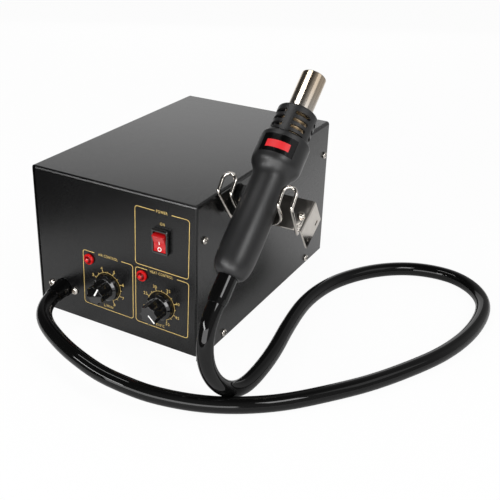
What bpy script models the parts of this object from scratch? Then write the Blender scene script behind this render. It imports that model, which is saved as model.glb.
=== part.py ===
"""Hot air station for an electronics bench: a steel cabinet with an air pump, two dials and a
rocker switch, a hose to a heated handset, and a bent wire cradle on the right side.

Sizes below are millimetres. The cabinet is laid out with x = 0 on its middle, y = 0 on its front
face and z = 0 on the bench; one parent empty then moves the whole station over its own middle.
"""
import math

import bmesh
import bpy
from mathutils import Matrix, Vector
from mathutils.geometry import interpolate_bezier

MM = 0.001
GAP = 0.3

# Cabinet
WIDTH = 164.0
DEPTH = 245.0
TOP = 145.0
PANEL_FOOT = 10.0
SKIRT = 6.0
SHEET = 1.2
COVER_FOLD = 2.5
PANEL_FOLD = 1.5
FLANGE = 12.0
TRAY_TOP = 16.7
TRAY_LIP = 8.0
FOOT_X = 62.0
FOOT_FRONT = 32.0
FOOT_REAR = 223.0
UPPER_SCREWS = ((9.0, 113.0), (237.0, 112.5))
LOWER_SCREWS = ((42.0, 11.5), (207.0, 11.5))
SCREW_HOLE = 1.8

# Middle of the station's outline in the cabinet's layout, hose left out
MIDDLE_X = 32.4
MIDDLE_Y = 108.8

# Front panel, each as (x, z)
SWITCH = (48.5, 107.5)
BEZEL = (7.5, 10.5)
BEZEL_PROUD = 4.0
SWITCH_BARREL = (6.7, 9.6)
SWITCH_DEPTH = 17.0
SWITCH_WELL = (6.0, 8.8)
ROCKER_HALF = 5.6
ROCKER_PIVOT = -0.5
ROCKER_TILT = 12.0
AIR_LAMP = (-25.7, 71.1)
HEAT_LAMP = (28.7, 71.0)
AIR_KNOB = (-7.2, 49.8)
HEAT_KNOB = (46.9, 48.2)
GLAND = (-56.0, 34.8)
GLAND_SCREWS = ((-68.7, 35.7), (-43.6, 34.8))
GLAND_SCREW_HEAD = 3.4
BUSHING = 4.4
LAMP_NECK = 3.9
LAMP_DEPTH = 14.0
AIR_POINTER = 29.0
HEAT_POINTER = 133.0
FLUTES = 8
FLUTE_DEPTH = 1.4
KNOB_CORNER = 8.7
KNOB_FACE = 18.8
SHAFT = 2.9
SHAFT_END = 14.2

# Rear panel, each as (x, z)
INLET = (-45.0, 45.0)
FUSE = (-45.0, 82.0)
FUSE_NECK = 6.0
VENT_SLOTS = 9
VENT_PITCH = 7.5

# Cradle, in its own tilted layout: x from the cabinet side, y up the slope, z off the shelf
CRADLE_AT = (WIDTH / 2, 40.0, 125.5)
CRADLE_TILT = 32.7
PLATE = 1.5
BRACKET_FOLD = 2.0
SHELF_REACH = 67.3
SHELF_LENGTH = 28.9
OUTER_LIP = 23.9
INNER_LIP = 24.0
SHELF_SCREW_X = (8.4, 61.6)
SHELF_SCREW_Y = 13.3
BRACKET_SCREWS = ((7.0, 9.0), (18.0, 4.5))
WIRE = 1.3
WIRE_MIDDLE = 35.2
WIRE_FRONT = -2.0
KINK_HEIGHT = 30.7
INNER_LEG = 19.9
OUTER_LEG = 31.1
OUTER_FOOT = 28.9
WIRE_SEAT = 1.4
EAR_LENGTH = 16.2
EAR_LEAN = 20.8
EAR_BEND = 5.5
TAIL_INSET = 9.8
TAIL_BACK = 18.0

# Handset, measured along its axis from the cradle's wire
HANDSET_AT = (116.6, 29.8, 141.3)
HANDSET_RISE = 42.0
TIP = 121.4
TUBE = 10.4
TUBE_BORE = 9.6
GUARD = 16.6
GUARD_BORE = 14.6
GUARD_TOP = 86.0
COLLAR = 20.2
COLLAR_TOP = 60.5
SEAT = 33.0
SLOT_ROWS = (78.6, 72.6, 66.6, 60.8)
SLOT_HEIGHT = 3.2
SLOT_GROUPS = 5
SLOT_SPAN = 48.0
SLOT_MIDDLE = -48.0
CORE = 8.4
CORE_FOOT = 37.5
CORE_TOP = 108.0
SLEEVE = 7.75
SLEEVE_END = -82.0

# Hose
HOSE = 6.6
HOSE_STEP = 17
GLAND_SLEEVE = 8.2
GLAND_SLEEVE_LENGTH = 20
GLAND_SLEEVE_TAPER = 0.9
HOSE_ROUTE = (
    (-54, -20, 34), (-47, -37, 33.3), (-32, -52, 33), (-12, -62, 31), (7, -69, 29),
    (25, -73, 27), (42, -75, 24), (62, -73, 21), (78, -69, 17), (95, -61, 13), (110, -53, 10),
    (127, -42, 7.4), (145, -30, 6.7), (165, -14, 6.7), (185, 8, 6.7), (215, 47, 6.7), (242, 95, 6.7),
    (254, 124, 6.7), (262, 157, 6.7), (264, 193, 6.7), (259, 221, 6.7), (246, 241, 6.7),
    (231, 252, 6.7), (215, 257, 6.7), (186, 253, 6.7), (160, 237, 6.7), (139, 212, 6.7),
    (123, 178, 6.7), (117, 135, 6.7), (122, 86, 6.7), (129, 46, 6.7), (132, 10, 6.7), (131, -16, 8),
    (126, -36, 19), (120, -48, 40), (117, -48, 61),
)

# Colour, roughness and metallic value of each finish
FINISHES = {
    "black_coat": ((0.018, 0.018, 0.019), 0.45, 0.0),
    "zinc": ((0.55, 0.55, 0.53), 0.35, 1.0),
    "nickel": ((0.72, 0.69, 0.63), 0.22, 1.0),
    "stainless": ((0.62, 0.60, 0.56), 0.28, 1.0),
    "rubber": ((0.012, 0.012, 0.012), 0.6, 0.0),
    "hose_rubber": ((0.008, 0.008, 0.008), 0.25, 0.0),
    "moulded_black": ((0.016, 0.016, 0.017), 0.5, 0.0),
    "grip_black": ((0.022, 0.022, 0.024), 0.42, 0.0),
    "red_rocker": ((0.62, 0.012, 0.010), 0.3, 0.0),
    "red_lens": ((0.55, 0.01, 0.01), 0.15, 0.0),
    "ceramic": ((0.75, 0.72, 0.66), 0.7, 0.0),
    "board": ((0.02, 0.12, 0.05), 0.5, 0.0),
    "core_steel": ((0.22, 0.22, 0.23), 0.5, 1.0),
    "membrane": ((0.05, 0.05, 0.05), 0.6, 0.0),
    "clear_tube": ((0.65, 0.66, 0.62), 0.3, 0.0),
    "brass": ((0.72, 0.52, 0.22), 0.3, 1.0),
}

for leftover in list(bpy.data.objects):
    bpy.data.objects.remove(leftover, do_unlink=True)
PARTS = bpy.data.collections.new("hot_air_station")
CUTTERS = bpy.data.collections.new("cutters")
for group in (PARTS, CUTTERS):
    bpy.context.scene.collection.children.link(group)


def mm(x, y, z):
    """A point given in millimetres."""
    return Vector((x, y, z)) * MM


def frame(name, parent=None, at=(0, 0, 0), turn=(0, 0, 0)):
    """An empty that carries pieces laid out in their own directions."""
    empty = bpy.data.objects.new(name, None)
    CUTTERS.objects.link(empty)
    empty.parent = parent
    empty.location = mm(*at)
    empty.rotation_euler = [math.radians(angle) for angle in turn]
    return empty


def add(name, data, finish, parent, at=(0, 0, 0), turn=(0, 0, 0)):
    """Place a piece with its finish, or a cutter when finish is None."""
    item = bpy.data.objects.new(name, data)
    item.parent = parent
    item.location = mm(*at)
    item.rotation_euler = [math.radians(angle) for angle in turn]
    if finish is None:
        CUTTERS.objects.link(item)
        item.hide_render = True
        item.display_type = "WIRE"
        return item
    PARTS.objects.link(item)
    colour, roughness, metallic = FINISHES[finish]
    material = bpy.data.materials.new(name)
    material.use_nodes = True
    shader = material.node_tree.nodes["Principled BSDF"]
    shader.inputs["Base Color"].default_value = (*colour, 1.0)
    shader.inputs["Roughness"].default_value = roughness
    shader.inputs["Metallic"].default_value = metallic
    data.materials.append(material)
    return item


def from_bmesh(bm):
    """Mesh data shaded smooth except across sharp edges."""
    data = bpy.data.meshes.new("shape")
    bm.to_mesh(data)
    bm.free()
    data.shade_smooth()
    data.set_sharp_from_angle(angle=math.radians(35))
    return data


def boxes(*corners):
    """One or more boxes, each given by its low and high corner."""
    bm = bmesh.new()
    for low, high in corners:
        low, high = mm(*low), mm(*high)
        made = bmesh.ops.create_cube(bm, size=1.0)
        bmesh.ops.scale(bm, vec=high - low, verts=made["verts"])
        bmesh.ops.translate(bm, vec=(low + high) / 2, verts=made["verts"])
    return from_bmesh(bm)


def slab(halves, low, high):
    """A box over the middle of its place, with the given half width and half height."""
    wide, tall = halves
    return boxes(((-wide, -tall, low), (wide, tall, high)))


def drums(radius, low, high, centres=((0, 0),), sides=16):
    """One or more upright cylinders of the same size."""
    bm = bmesh.new()
    for x, y in centres:
        made = bmesh.ops.create_cone(
            bm, cap_ends=True, segments=sides, radius1=radius * MM, radius2=radius * MM,
            depth=(high - low) * MM,
        )
        bmesh.ops.translate(bm, vec=mm(x, y, (low + high) / 2), verts=made["verts"])
    return from_bmesh(bm)


def turned(name, profile, steps, finish, parent, at=(0, 0, 0), turn=(0, 0, 0)):
    """A turned piece from (radius, height) points that run down its outer side; a profile that
    starts off the axis closes on itself and makes a ring."""
    count = len(profile)
    edges = [(i, i + 1) for i in range(count - 1)]
    if profile[0][0] > 0:
        edges.append((count - 1, 0))
    data = bpy.data.meshes.new(name)
    data.from_pydata([mm(radius, 0, height) for radius, height in profile], edges, [])
    item = add(name, data, finish, parent, at, turn)
    screw = item.modifiers.new("turn", "SCREW")
    screw.steps = steps
    screw.render_steps = steps
    screw.use_merge_vertices = True
    screw.merge_threshold = 0.00001
    return item


def extruded(points, low, high):
    """A flat outline given thickness from low to high, as mesh data."""
    curve = bpy.data.curves.new("outline", "CURVE")
    curve.dimensions = "2D"
    curve.fill_mode = "BOTH"
    curve.extrude = (high - low) / 2 * MM
    spline = curve.splines.new("POLY")
    spline.points.add(len(points) - 1)
    for point, (x, y) in zip(spline.points, points):
        point.co = (x * MM, y * MM, 0, 1)
    spline.use_cyclic_u = True
    item = bpy.data.objects.new("outline", curve)
    bpy.context.scene.collection.objects.link(item)
    depsgraph = bpy.context.evaluated_depsgraph_get()
    data = bpy.data.meshes.new_from_object(item.evaluated_get(depsgraph))
    bpy.data.objects.remove(item, do_unlink=True)
    bm = bmesh.new()
    bm.from_mesh(data)
    bmesh.ops.remove_doubles(bm, verts=bm.verts, dist=0.00001)
    bmesh.ops.translate(bm, vec=mm(0, 0, (low + high) / 2), verts=bm.verts)
    return from_bmesh(bm)


def rod(name, points, radius, finish, parent, resolution=2, taper=1.0):
    """A round bar, tube or hose along points in metres, whose far end may be thinner."""
    curve = bpy.data.curves.new(name, "CURVE")
    curve.dimensions = "3D"
    curve.bevel_depth = radius * MM
    curve.bevel_resolution = resolution
    curve.use_fill_caps = True
    spline = curve.splines.new("POLY")
    spline.points.add(len(points) - 1)
    last = len(points) - 1
    for i, place in enumerate(points):
        spline.points[i].co = (*place, 1)
        spline.points[i].radius = 1 + (taper - 1) * i / last
    spline.use_smooth = True
    return add(name, curve, finish, parent)


def folded(name, low, high, open_sides, thickness, fold, finish, parent):
    """Sheet metal bent into a box that lacks its open sides; the box is its outer face."""
    bm = bmesh.new()
    bmesh.ops.create_cube(bm, size=1.0)
    low, high = mm(*low), mm(*high)
    bmesh.ops.scale(bm, vec=high - low, verts=bm.verts)
    bmesh.ops.translate(bm, vec=(low + high) / 2, verts=bm.verts)
    missing = [face for face in bm.faces if any(face.normal.dot(Vector(side)) > 0.9 for side in open_sides)]
    bmesh.ops.delete(bm, geom=missing, context="FACES")
    item = add(name, from_bmesh(bm), finish, parent)
    bend_and_thicken(item, thickness, fold)
    return item


def bend_and_thicken(item, thickness, fold):
    """Round the bends of an open sheet and give it its thickness, inwards."""
    bevel = item.modifiers.new("bends", "BEVEL")
    bevel.width = fold * MM
    bevel.segments = 2
    bevel.limit_method = "ANGLE"
    solidify = item.modifiers.new("sheet", "SOLIDIFY")
    solidify.thickness = thickness * MM
    solidify.offset = -1
    solidify.use_even_offset = True


def round_edges(item, width, segments=2):
    """Rounded edges on a moulded piece."""
    bevel = item.modifiers.new("edges", "BEVEL")
    bevel.width = width * MM
    bevel.segments = segments
    bevel.limit_method = "ANGLE"
    bevel.angle_limit = math.radians(40)


def combine(item, others, operation):
    """Cut others from item, or join them to it."""
    for other in others:
        boolean = item.modifiers.new(other.name, "BOOLEAN")
        boolean.operation = operation
        boolean.object = other
        boolean.solver = "EXACT"


def cut(item, *cutters):
    combine(item, cutters, "DIFFERENCE")


def join(item, *pieces):
    combine(item, pieces, "UNION")


def screw(name, head, head_height, shank, length, finish, parent, at, turn):
    """A pan-head screw with its head on +z and the underside of the head at z = 0."""
    profile = (
        (0, head_height), (0.65 * head, 0.88 * head_height), (head, 0.3 * head_height), (head, 0),
        (shank, 0), (shank, -length), (0, -length),
    )
    return turned(name, profile, 8, finish, parent, at, turn)


def smooth_route(points, step):
    """Points at an even step along a smooth curve through the given points, in metres."""
    count = len(points)
    slopes = []
    for i in range(count):
        before, after = points[max(i - 1, 0)], points[min(i + 1, count - 1)]
        slopes.append((after - before).normalized())
    fine = []
    for i in range(count - 1):
        handle = (points[i + 1] - points[i]).length / 3
        leaving, arriving = points[i] + slopes[i] * handle, points[i + 1] - slopes[i + 1] * handle
        fine += interpolate_bezier(points[i], leaving, arriving, points[i + 1], 40)[:-1]
    fine.append(points[-1])
    travelled = [0.0]
    for a, b in zip(fine, fine[1:]):
        travelled.append(travelled[-1] + (b - a).length)
    pieces = max(round(travelled[-1] / step), 2)
    even, i = [], 0
    for k in range(pieces + 1):
        wanted = travelled[-1] * k / pieces
        while i < len(fine) - 2 and travelled[i + 1] < wanted:
            i += 1
        share = (wanted - travelled[i]) / (travelled[i + 1] - travelled[i])
        even.append(fine[i].lerp(fine[i + 1], share))
    return even


def filleted(corners, steps=3):
    """A bent wire's middle line: straight runs between (point, bend radius) corners."""
    points = [corners[0][0]]
    for (before, _), (here, radius), (after, _) in zip(corners, corners[1:], corners[2:]):
        to_before, to_after = (before - here).normalized(), (after - here).normalized()
        opening = to_before.angle(to_after)
        bend = radius * MM
        reach = bend / math.tan(opening / 2)
        middle = here + (to_before + to_after).normalized() * (bend / math.sin(opening / 2))
        start, end = here + to_before * reach - middle, here + to_after * reach - middle
        turning = start.angle(end)
        axis = start.cross(end).normalized()
        points += [middle + Matrix.Rotation(turning * k / steps, 3, axis) @ start for k in range(steps + 1)]
    points.append(corners[-1][0])
    return points


def cabinet(station, cover_cutters, front_cutters, rear_cutters):
    """Cover, front and rear panels, floor tray, feet and the screws that hold them."""
    half = WIDTH / 2
    inside = half - SHEET - GAP
    side_holes = []
    for label, places, bolted in (("upper", UPPER_SCREWS, "panels"), ("lower", LOWER_SCREWS, "tray")):
        for end, (y, z) in zip(("front", "rear"), places):
            through = drums(SCREW_HOLE, -half - 5, half + 5, sides=12)
            hole = add(f"{label}_{end}_holes", through, None, station, (0, y, z), (0, 90, 0))
            side_holes.append((hole, bolted))
            for side, sign in (("left", -1), ("right", 1)):
                screw(
                    f"cover_screw_{label}_{end}_{side}", 3.25, 2.2, 1.5, 8.0, "nickel", station,
                    (sign * (half + GAP), y, z), (0, sign * 90, 0),
                )
    panel_holes = [hole for hole, bolted in side_holes if bolted == "panels"]
    tray_holes = [hole for hole, bolted in side_holes if bolted == "tray"]

    cover = folded(
        "cover", (-half, 0, SKIRT), (half, DEPTH, TOP), ((0, -1, 0), (0, 1, 0), (0, 0, -1)),
        SHEET, COVER_FOLD, "black_coat", station,
    )
    cut(cover, *panel_holes, *tray_holes, *cover_cutters)

    panel_top = TOP - SHEET - GAP
    tray_room = add(
        "tray_room",
        boxes(((-half, SHEET + 0.1, 0), (half, DEPTH - SHEET - 0.1, TRAY_TOP + GAP))), None, station,
    )
    front = folded(
        "front_panel", (-inside, 0, PANEL_FOOT), (inside, FLANGE, panel_top), ((0, 1, 0), (0, 0, -1)),
        SHEET, PANEL_FOLD, "black_coat", station,
    )
    cut(front, tray_room, panel_holes[0], *front_cutters)
    rear = folded(
        "rear_panel", (-inside, DEPTH - FLANGE, PANEL_FOOT), (inside, DEPTH, panel_top),
        ((0, -1, 0), (0, 0, -1)), SHEET, PANEL_FOLD, "black_coat", station,
    )
    cut(rear, tray_room, panel_holes[1], *rear_cutters)

    tray_front = SHEET + GAP
    tray = folded(
        "base_tray", (-inside, tray_front, TRAY_LIP), (inside, DEPTH - tray_front, TRAY_TOP), ((0, 0, -1),),
        SHEET, PANEL_FOLD, "zinc", station,
    )
    feet_at = [(sign * FOOT_X, y) for y in (FOOT_FRONT, FOOT_REAR) for sign in (-1, 1)]
    foot_holes = add("foot_holes", drums(2.3, TRAY_TOP - 4, TRAY_TOP + 2, feet_at, 12), None, station)
    end_lips = add(
        "end_lips",
        boxes(
            ((-half, 0, 0), (half, tray_front + 2, PANEL_FOOT + 0.2)),
            ((-half, DEPTH - tray_front - 2, 0), (half, DEPTH, PANEL_FOOT + 0.2)),
        ),
        None, station,
    )
    cut(tray, *tray_holes, foot_holes, end_lips)

    foot_top = TRAY_TOP - SHEET - GAP
    for label, (x, y) in zip(("front_left", "front_right", "rear_left", "rear_right"), feet_at):
        turned(
            f"foot_{label}",
            ((8.0, foot_top), (9.6, 1.6), (8.8, 0), (5.0, 0), (5.0, 6.0), (2.2, 6.0), (2.2, foot_top)),
            14, "rubber", station, (x, y, 0),
        )
        screw(f"foot_screw_{label}", 3.6, 2.4, 1.7, 14.0, "zinc", station, (x, y, 6.0 - GAP), (180, 0, 0))


def front_controls(panel):
    """Switch, lamps, knobs and hose gland; returns the cutters for the panel.
    In this layout x and y lie on the panel and z points out of it."""
    cutters = []
    x, y = SWITCH
    body = add("switch_body", slab(BEZEL, GAP, BEZEL_PROUD), "moulded_black", panel, (x, y, 0))
    round_edges(body, 0.8)
    blades = [((-3.1, v - 0.4, -SWITCH_DEPTH - 8), (3.1, v + 0.4, 1 - SWITCH_DEPTH)) for v in (-5, 5)]
    join(
        body,
        add("switch_barrel", slab(SWITCH_BARREL, -SWITCH_DEPTH, SHEET), None, panel, (x, y, 0)),
        add("switch_blades", boxes(*blades), None, panel, (x, y, 0)),
    )
    cut(body, add("switch_well", slab(SWITCH_WELL, -9, BEZEL_PROUD + 2), None, panel, (x, y, 0)))
    hole = [half + GAP for half in SWITCH_BARREL]
    cutters.append(add("switch_hole", slab(hole, -4, 2), None, panel, (x, y, 0)))
    pivot = frame("rocker_pivot", panel, (x, y, ROCKER_PIVOT), (ROCKER_TILT, 0, 0))
    side = (
        (7.2, 6.1), (3.7, 5.2), (0, 4.9), (-3.7, 5.2), (-7.2, 6.1), (-7.9, 3.5), (-6.6, -3.0), (0, -4.6),
        (6.6, -3.0), (7.9, 3.5),
    )
    rocker = add(
        "switch_rocker", extruded(side, -ROCKER_HALF, ROCKER_HALF), "red_rocker", pivot, turn=(90, 0, 90)
    )
    round_edges(rocker, 0.5)

    lamp = (
        (0, 4.4), (1.6, 4.1), (2.7, 3.0), (3.0, 2.2), (3.9, 2.6), (4.8, 1.6), (4.8, GAP), (LAMP_NECK, GAP),
        (LAMP_NECK, -LAMP_DEPTH), (0, -LAMP_DEPTH),
    )
    for name, place in (("air_lamp", AIR_LAMP), ("heat_lamp", HEAT_LAMP)):
        turned(name, lamp, 16, "red_lens", panel, (*place, 0))
    lamp_holes = drums(LAMP_NECK + GAP, -5, 5, (AIR_LAMP, HEAT_LAMP))
    cutters.append(add("lamp_holes", lamp_holes, None, panel))

    cutters.append(add("bushing_holes", drums(BUSHING + GAP, -5, 5, (AIR_KNOB, HEAT_KNOB)), None, panel))
    for name, place, pointer in (("air", AIR_KNOB, AIR_POINTER), ("heat", HEAT_KNOB, HEAT_POINTER)):
        knob(name, frame(f"{name}_axis", panel, (*place, 0), (0, 0, -pointer)))
    air_valve(panel)
    turned(
        "heat_pot",
        ((3.2, 3.0), (BUSHING, 3.0), (BUSHING, -1.5), (12, -1.5), (12, -11), (3.2, -11)),
        16, "zinc", panel, (*HEAT_KNOB, 0),
    )
    for name, place in (("air_nut", AIR_KNOB), ("heat_nut", HEAT_KNOB)):
        nut = add(name, drums(6.8, GAP, 2.6, sides=6), "nickel", panel, (*place, 0))
        cut(nut, add(f"{name}_bore", drums(BUSHING + GAP, -2, 5), None, panel, (*place, 0)))

    cutters += gland(panel)
    return cutters


def knob(name, axis):
    """A fluted knob on a coned skirt, and the shaft that it is pressed on. One corner between two
    flutes points along y."""
    skirt = ((0, 6.2), (9.4, 6.2), (11.4, 4.6), (12.1, 2.0), (12.1, 0.6), (8.4, 0.6), (8.4, 3.6), (0, 3.6))
    outline = []
    steps = 4 * FLUTES
    for k in range(steps):
        angle = math.tau * k / steps
        radius = KNOB_CORNER - FLUTE_DEPTH * abs(math.sin(angle * FLUTES / 2))
        outline.append((radius * math.sin(angle), radius * math.cos(angle)))
    cap = add(f"{name}_cap", extruded(outline, 5.0, KNOB_FACE), None, axis)
    round_edges(cap, 0.5, 1)
    item = turned(f"{name}_knob", skirt, 24, "moulded_black", axis)
    join(item, cap)
    bore = drums(SHAFT + GAP, 3.0, SHAFT_END + GAP, sides=12)
    cut(item, add(f"{name}_bore", bore, None, axis))
    add(f"{name}_shaft", drums(SHAFT, -8.0, SHAFT_END, sides=12), "brass", axis)


def air_valve(panel):
    """Needle valve block behind the air knob, with two hose nipples at its back."""
    x, y = AIR_KNOB
    body = add("air_valve", boxes(((-11, -11, -18), (11, 11, -1.5))), "zinc", panel, (x, y, 0))
    join(
        body,
        add("valve_bushing", drums(BUSHING, -4, 3.0), None, panel, (x, y, 0)),
        add("valve_nipples", drums(2.6, -28, -16, ((-5.5, 0), (5.5, 0)), 12), None, panel, (x, y, 0)),
    )
    cut(body, add("valve_bore", drums(3.2, -10, 5, sides=16), None, panel, (x, y, 0)))


def gland(panel):
    """Hose gland behind the panel with its two screws; returns the panel's holes."""
    x, y = GLAND
    body = add("hose_gland", boxes(((-18, -9.5, -3.6), (18, 9.5, -1.5))), "moulded_black", panel, (x, y, 0))
    join(body, add("gland_socket", drums(8.5, -17, -2.5), None, panel, (x, y, 0)))
    join(body, add("gland_nipple", drums(4.0, -24, -16, sides=16), None, panel, (x, y, 0)))
    screw_holes = add("gland_screw_holes", drums(SCREW_HOLE, -8, 5, GLAND_SCREWS, 12), None, panel)
    cut(body, screw_holes, add("gland_bore", drums(2.6, -30, 5, sides=16), None, panel, (x, y, 0)))
    for side, place in zip(("left", "right"), GLAND_SCREWS):
        spot = (*place, GAP)
        screw(f"gland_screw_{side}", GLAND_SCREW_HEAD, 2.2, 1.5, 7.0, "nickel", panel, spot, (0, 0, 0))
    return [screw_holes, add("gland_hole", drums(GLAND_SLEEVE + 0.7, -5, 5), None, panel, (x, y, 0))]


def rear_fittings(panel):
    """Mains inlet, fuse holder and vents; returns the cutters for the rear panel.
    In this layout x and y lie on the panel, seen from behind, and z points out of it."""
    x, y = -INLET[0], INLET[1]
    inlet = add("mains_inlet", boxes(((-15, -12, GAP), (15, 12, 2.6))), "moulded_black", panel, (x, y, 0))
    round_edges(inlet, 1.0)
    join(inlet, add("inlet_box", boxes(((-13.4, -9.8, -20), (13.4, 9.8, 1.2))), None, panel, (x, y, 0)))
    well = ((-12, -8.2), (12, -8.2), (12, 4.4), (8.2, 8.2), (-8.2, 8.2), (-12, 4.4))
    cut(inlet, add("inlet_well", extruded(well, -16, 5), None, panel, (x, y, 0)))
    pins = [((px - 1, py - 2, -28), (px + 1, py + 2, -2)) for px, py in ((-7, -1.5), (0, 2.5), (7, -1.5))]
    join(inlet, add("inlet_pins", boxes(*pins), None, panel, (x, y, 0)))
    fuse_at = (-FUSE[0], FUSE[1], 0)
    turned(
        "fuse_holder",
        (
            (0, 8.5), (5.2, 8.5), (5.8, 7.9), (5.8, 2.6), (8.2, 2.6), (8.2, GAP), (FUSE_NECK, GAP),
            (FUSE_NECK, -24), (0, -24),
        ),
        16, "moulded_black", panel, fuse_at,
    )
    slots = []
    for k in range(VENT_SLOTS):
        middle = -35 + VENT_PITCH * (k - (VENT_SLOTS - 1) / 2)
        slots.append(((middle - 1.5, 78, -5), (middle + 1.5, 122, 5)))
    return [
        add("inlet_hole", boxes(((-13.7, -10.1, -5), (13.7, 10.1, 5))), None, panel, (x, y, 0)),
        add("fuse_hole", drums(FUSE_NECK + GAP, -5, 5), None, panel, fuse_at),
        add("vent_slots", boxes(*slots), None, panel),
    ]


def cradle(tilted, station):
    """Bent bracket on the right side, the wire that holds the grip, and their screws; returns the
    cutters for the cover."""
    sheet = bmesh.new()
    path = ((SHELF_REACH, -OUTER_LIP), (SHELF_REACH, 0), (GAP + PLATE, 0), (GAP + PLATE, INNER_LIP))
    line = [sheet.verts.new(mm(x, 0, z)) for x, z in path]
    edges = [sheet.edges.new(pair) for pair in zip(line, line[1:])]
    swept = bmesh.ops.extrude_edge_only(sheet, edges=edges)
    moved = [piece for piece in swept["geom"] if isinstance(piece, bmesh.types.BMVert)]
    bmesh.ops.translate(sheet, vec=mm(0, SHELF_LENGTH, 0), verts=moved)
    sheet.normal_update()
    if sum(face.normal.z for face in sheet.faces) < 0:
        bmesh.ops.reverse_faces(sheet, faces=sheet.faces)
    bracket = add("cradle_bracket", from_bmesh(sheet), "nickel", tilted)
    bend_and_thicken(bracket, PLATE, BRACKET_FOLD)
    on_shelf = [(x, SHELF_SCREW_Y) for x in SHELF_SCREW_X]
    shelf_holes = add("shelf_holes", drums(SCREW_HOLE, -12, 5, on_shelf, 12), None, tilted)
    on_side = [(-z, y) for y, z in BRACKET_SCREWS]
    side_holes = add("bracket_holes", drums(SCREW_HOLE, -8, 8, on_side, 12), None, tilted, turn=(0, 90, 0))
    round_hole, slot = drums(1.6, -4, 4, sides=12), boxes(((-4, -2.5, -1.0), (4, 2.5, 1.0)))
    lip_hole = add("lip_hole", round_hole, None, tilted, (SHELF_REACH, 4.2, -18.0), (0, 90, 0))
    lip_slot = add("lip_slot", slot, None, tilted, (SHELF_REACH, 21.6, -18.6))
    over_top = add("over_top", boxes(((80, 0, TOP - 0.8), (100, 120, TOP + 60))), None, station)
    cut(bracket, shelf_holes, side_holes, lip_hole, lip_slot, over_top)
    for side, x in zip(("inner", "outer"), SHELF_SCREW_X):
        at = (x, SHELF_SCREW_Y, GAP)
        screw(f"shelf_screw_{side}", 3.2, 2.4, 1.5, 8.5, "nickel", tilted, at, (0, 0, 0))
    for end, (y, z) in zip(("front", "rear"), BRACKET_SCREWS):
        screw(
            f"bracket_screw_{end}", 2.9, 2.0, 1.5, SHEET + PLATE + 2 * GAP, "nickel", tilted,
            (-SHEET - GAP, y, z), (0, -90, 0),
        )

    tail_z = -PLATE - GAP - WIRE
    clamp_top = tail_z - WIRE - GAP
    strip = boxes(((4.3, 8.0, clamp_top - PLATE), (65.3, 19.0, clamp_top)))
    clamp = add("cradle_clamp", strip, "nickel", tilted)
    cut(clamp, shelf_holes)

    ear_y = WIRE_FRONT + EAR_LENGTH * math.cos(math.radians(EAR_LEAN))
    ear_z = KINK_HEIGHT + EAR_LENGTH * math.sin(math.radians(EAR_LEAN))
    right = (
        (INNER_LEG, WIRE_FRONT, WIRE_SEAT, INNER_LEG - 0.1),
        (INNER_LEG, WIRE_FRONT, KINK_HEIGHT, 3.0),
        (INNER_LEG, ear_y, ear_z, EAR_BEND),
        (OUTER_LEG, ear_y, ear_z, EAR_BEND),
        (OUTER_LEG, WIRE_FRONT, KINK_HEIGHT, 3.0),
        (OUTER_FOOT, WIRE_FRONT, tail_z, 2.6),
        (OUTER_FOOT - TAIL_INSET, TAIL_BACK, tail_z, 0),
    )
    corners = [(mm(WIRE_MIDDLE - x, y, z), bend) for x, y, z, bend in reversed(right)]
    corners += [(mm(WIRE_MIDDLE + x, y, z), bend) for x, y, z, bend in right]
    rod("cradle_wire", filleted(corners), WIRE, "nickel", tilted)
    return [side_holes]


def handset(axis):
    """The heated handset: grip with its wide collar, slotted guard, outlet tube, heater and tail
    sleeve, all turned about one axis that rises out of the cradle."""
    turned(
        "handset_grip",
        (
            (GUARD + GAP, COLLAR_TOP), (COLLAR - 2.4, COLLAR_TOP), (COLLAR - 0.7, COLLAR_TOP - 0.8),
            (COLLAR, COLLAR_TOP - 2.6), (COLLAR, 38.0), (19.8, 35.8), (18.8, 33.4), (17.2, 31.0),
            (15.8, 28.4), (14.9, 25.4), (14.6, 22.0), (14.6, 10), (15.2, -20), (14.7, -40), (13.6, -50),
            (11.6, -56), (9.2, -59.2), (8.1, -59.5), (8.1, -54), (9.2, -54), (9.2, SEAT),
            (GUARD + GAP, SEAT),
        ),
        28, "grip_black", axis,
    )
    turned(
        "handset_sleeve",
        (
            (8.8, -50), (8.8, -53.7), (SLEEVE, -53.7), (SLEEVE, SLEEVE_END + 0.8),
            (SLEEVE - 0.6, SLEEVE_END), (4.5, SLEEVE_END), (4.5, -50),
        ),
        20, "hose_rubber", axis,
    )
    flange_foot, flange_top = SEAT + GAP, SEAT + 3.8
    guard_foot = flange_top + GAP
    guard = turned(
        "vent_guard",
        (
            (TUBE + GAP, GUARD_TOP), (GUARD - 1.4, GUARD_TOP), (GUARD, GUARD_TOP - 1.4), (GUARD, guard_foot),
            (GUARD_BORE, guard_foot), (GUARD_BORE, GUARD_TOP - 1.8), (TUBE + GAP, GUARD_TOP - 1.8),
        ),
        30, "moulded_black", axis,
    )
    cut(guard, add("guard_slots", guard_slots(), None, axis, turn=(0, 0, SLOT_MIDDLE)))
    turned(
        "heater_tube",
        (
            (TUBE_BORE, TIP), (TUBE, TIP), (TUBE, flange_top), (GUARD, flange_top), (GUARD, flange_foot),
            (TUBE_BORE, flange_foot),
        ),
        28, "stainless", axis,
    )
    rim = CORE_FOOT + 3
    core = turned(
        "heater_core",
        ((0, CORE_TOP), (CORE, CORE_TOP), (CORE, rim), (9.3, rim), (9.3, CORE_FOOT), (0, CORE_FOOT)),
        18, "ceramic", axis,
    )
    ring = [(5.3 * math.cos(k * math.pi / 3), 5.3 * math.sin(k * math.pi / 3)) for k in range(6)]
    cut(core, add("core_bores", drums(1.9, CORE_FOOT - 4, CORE_TOP + 4, [(0, 0), *ring], 6), None, axis))


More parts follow.
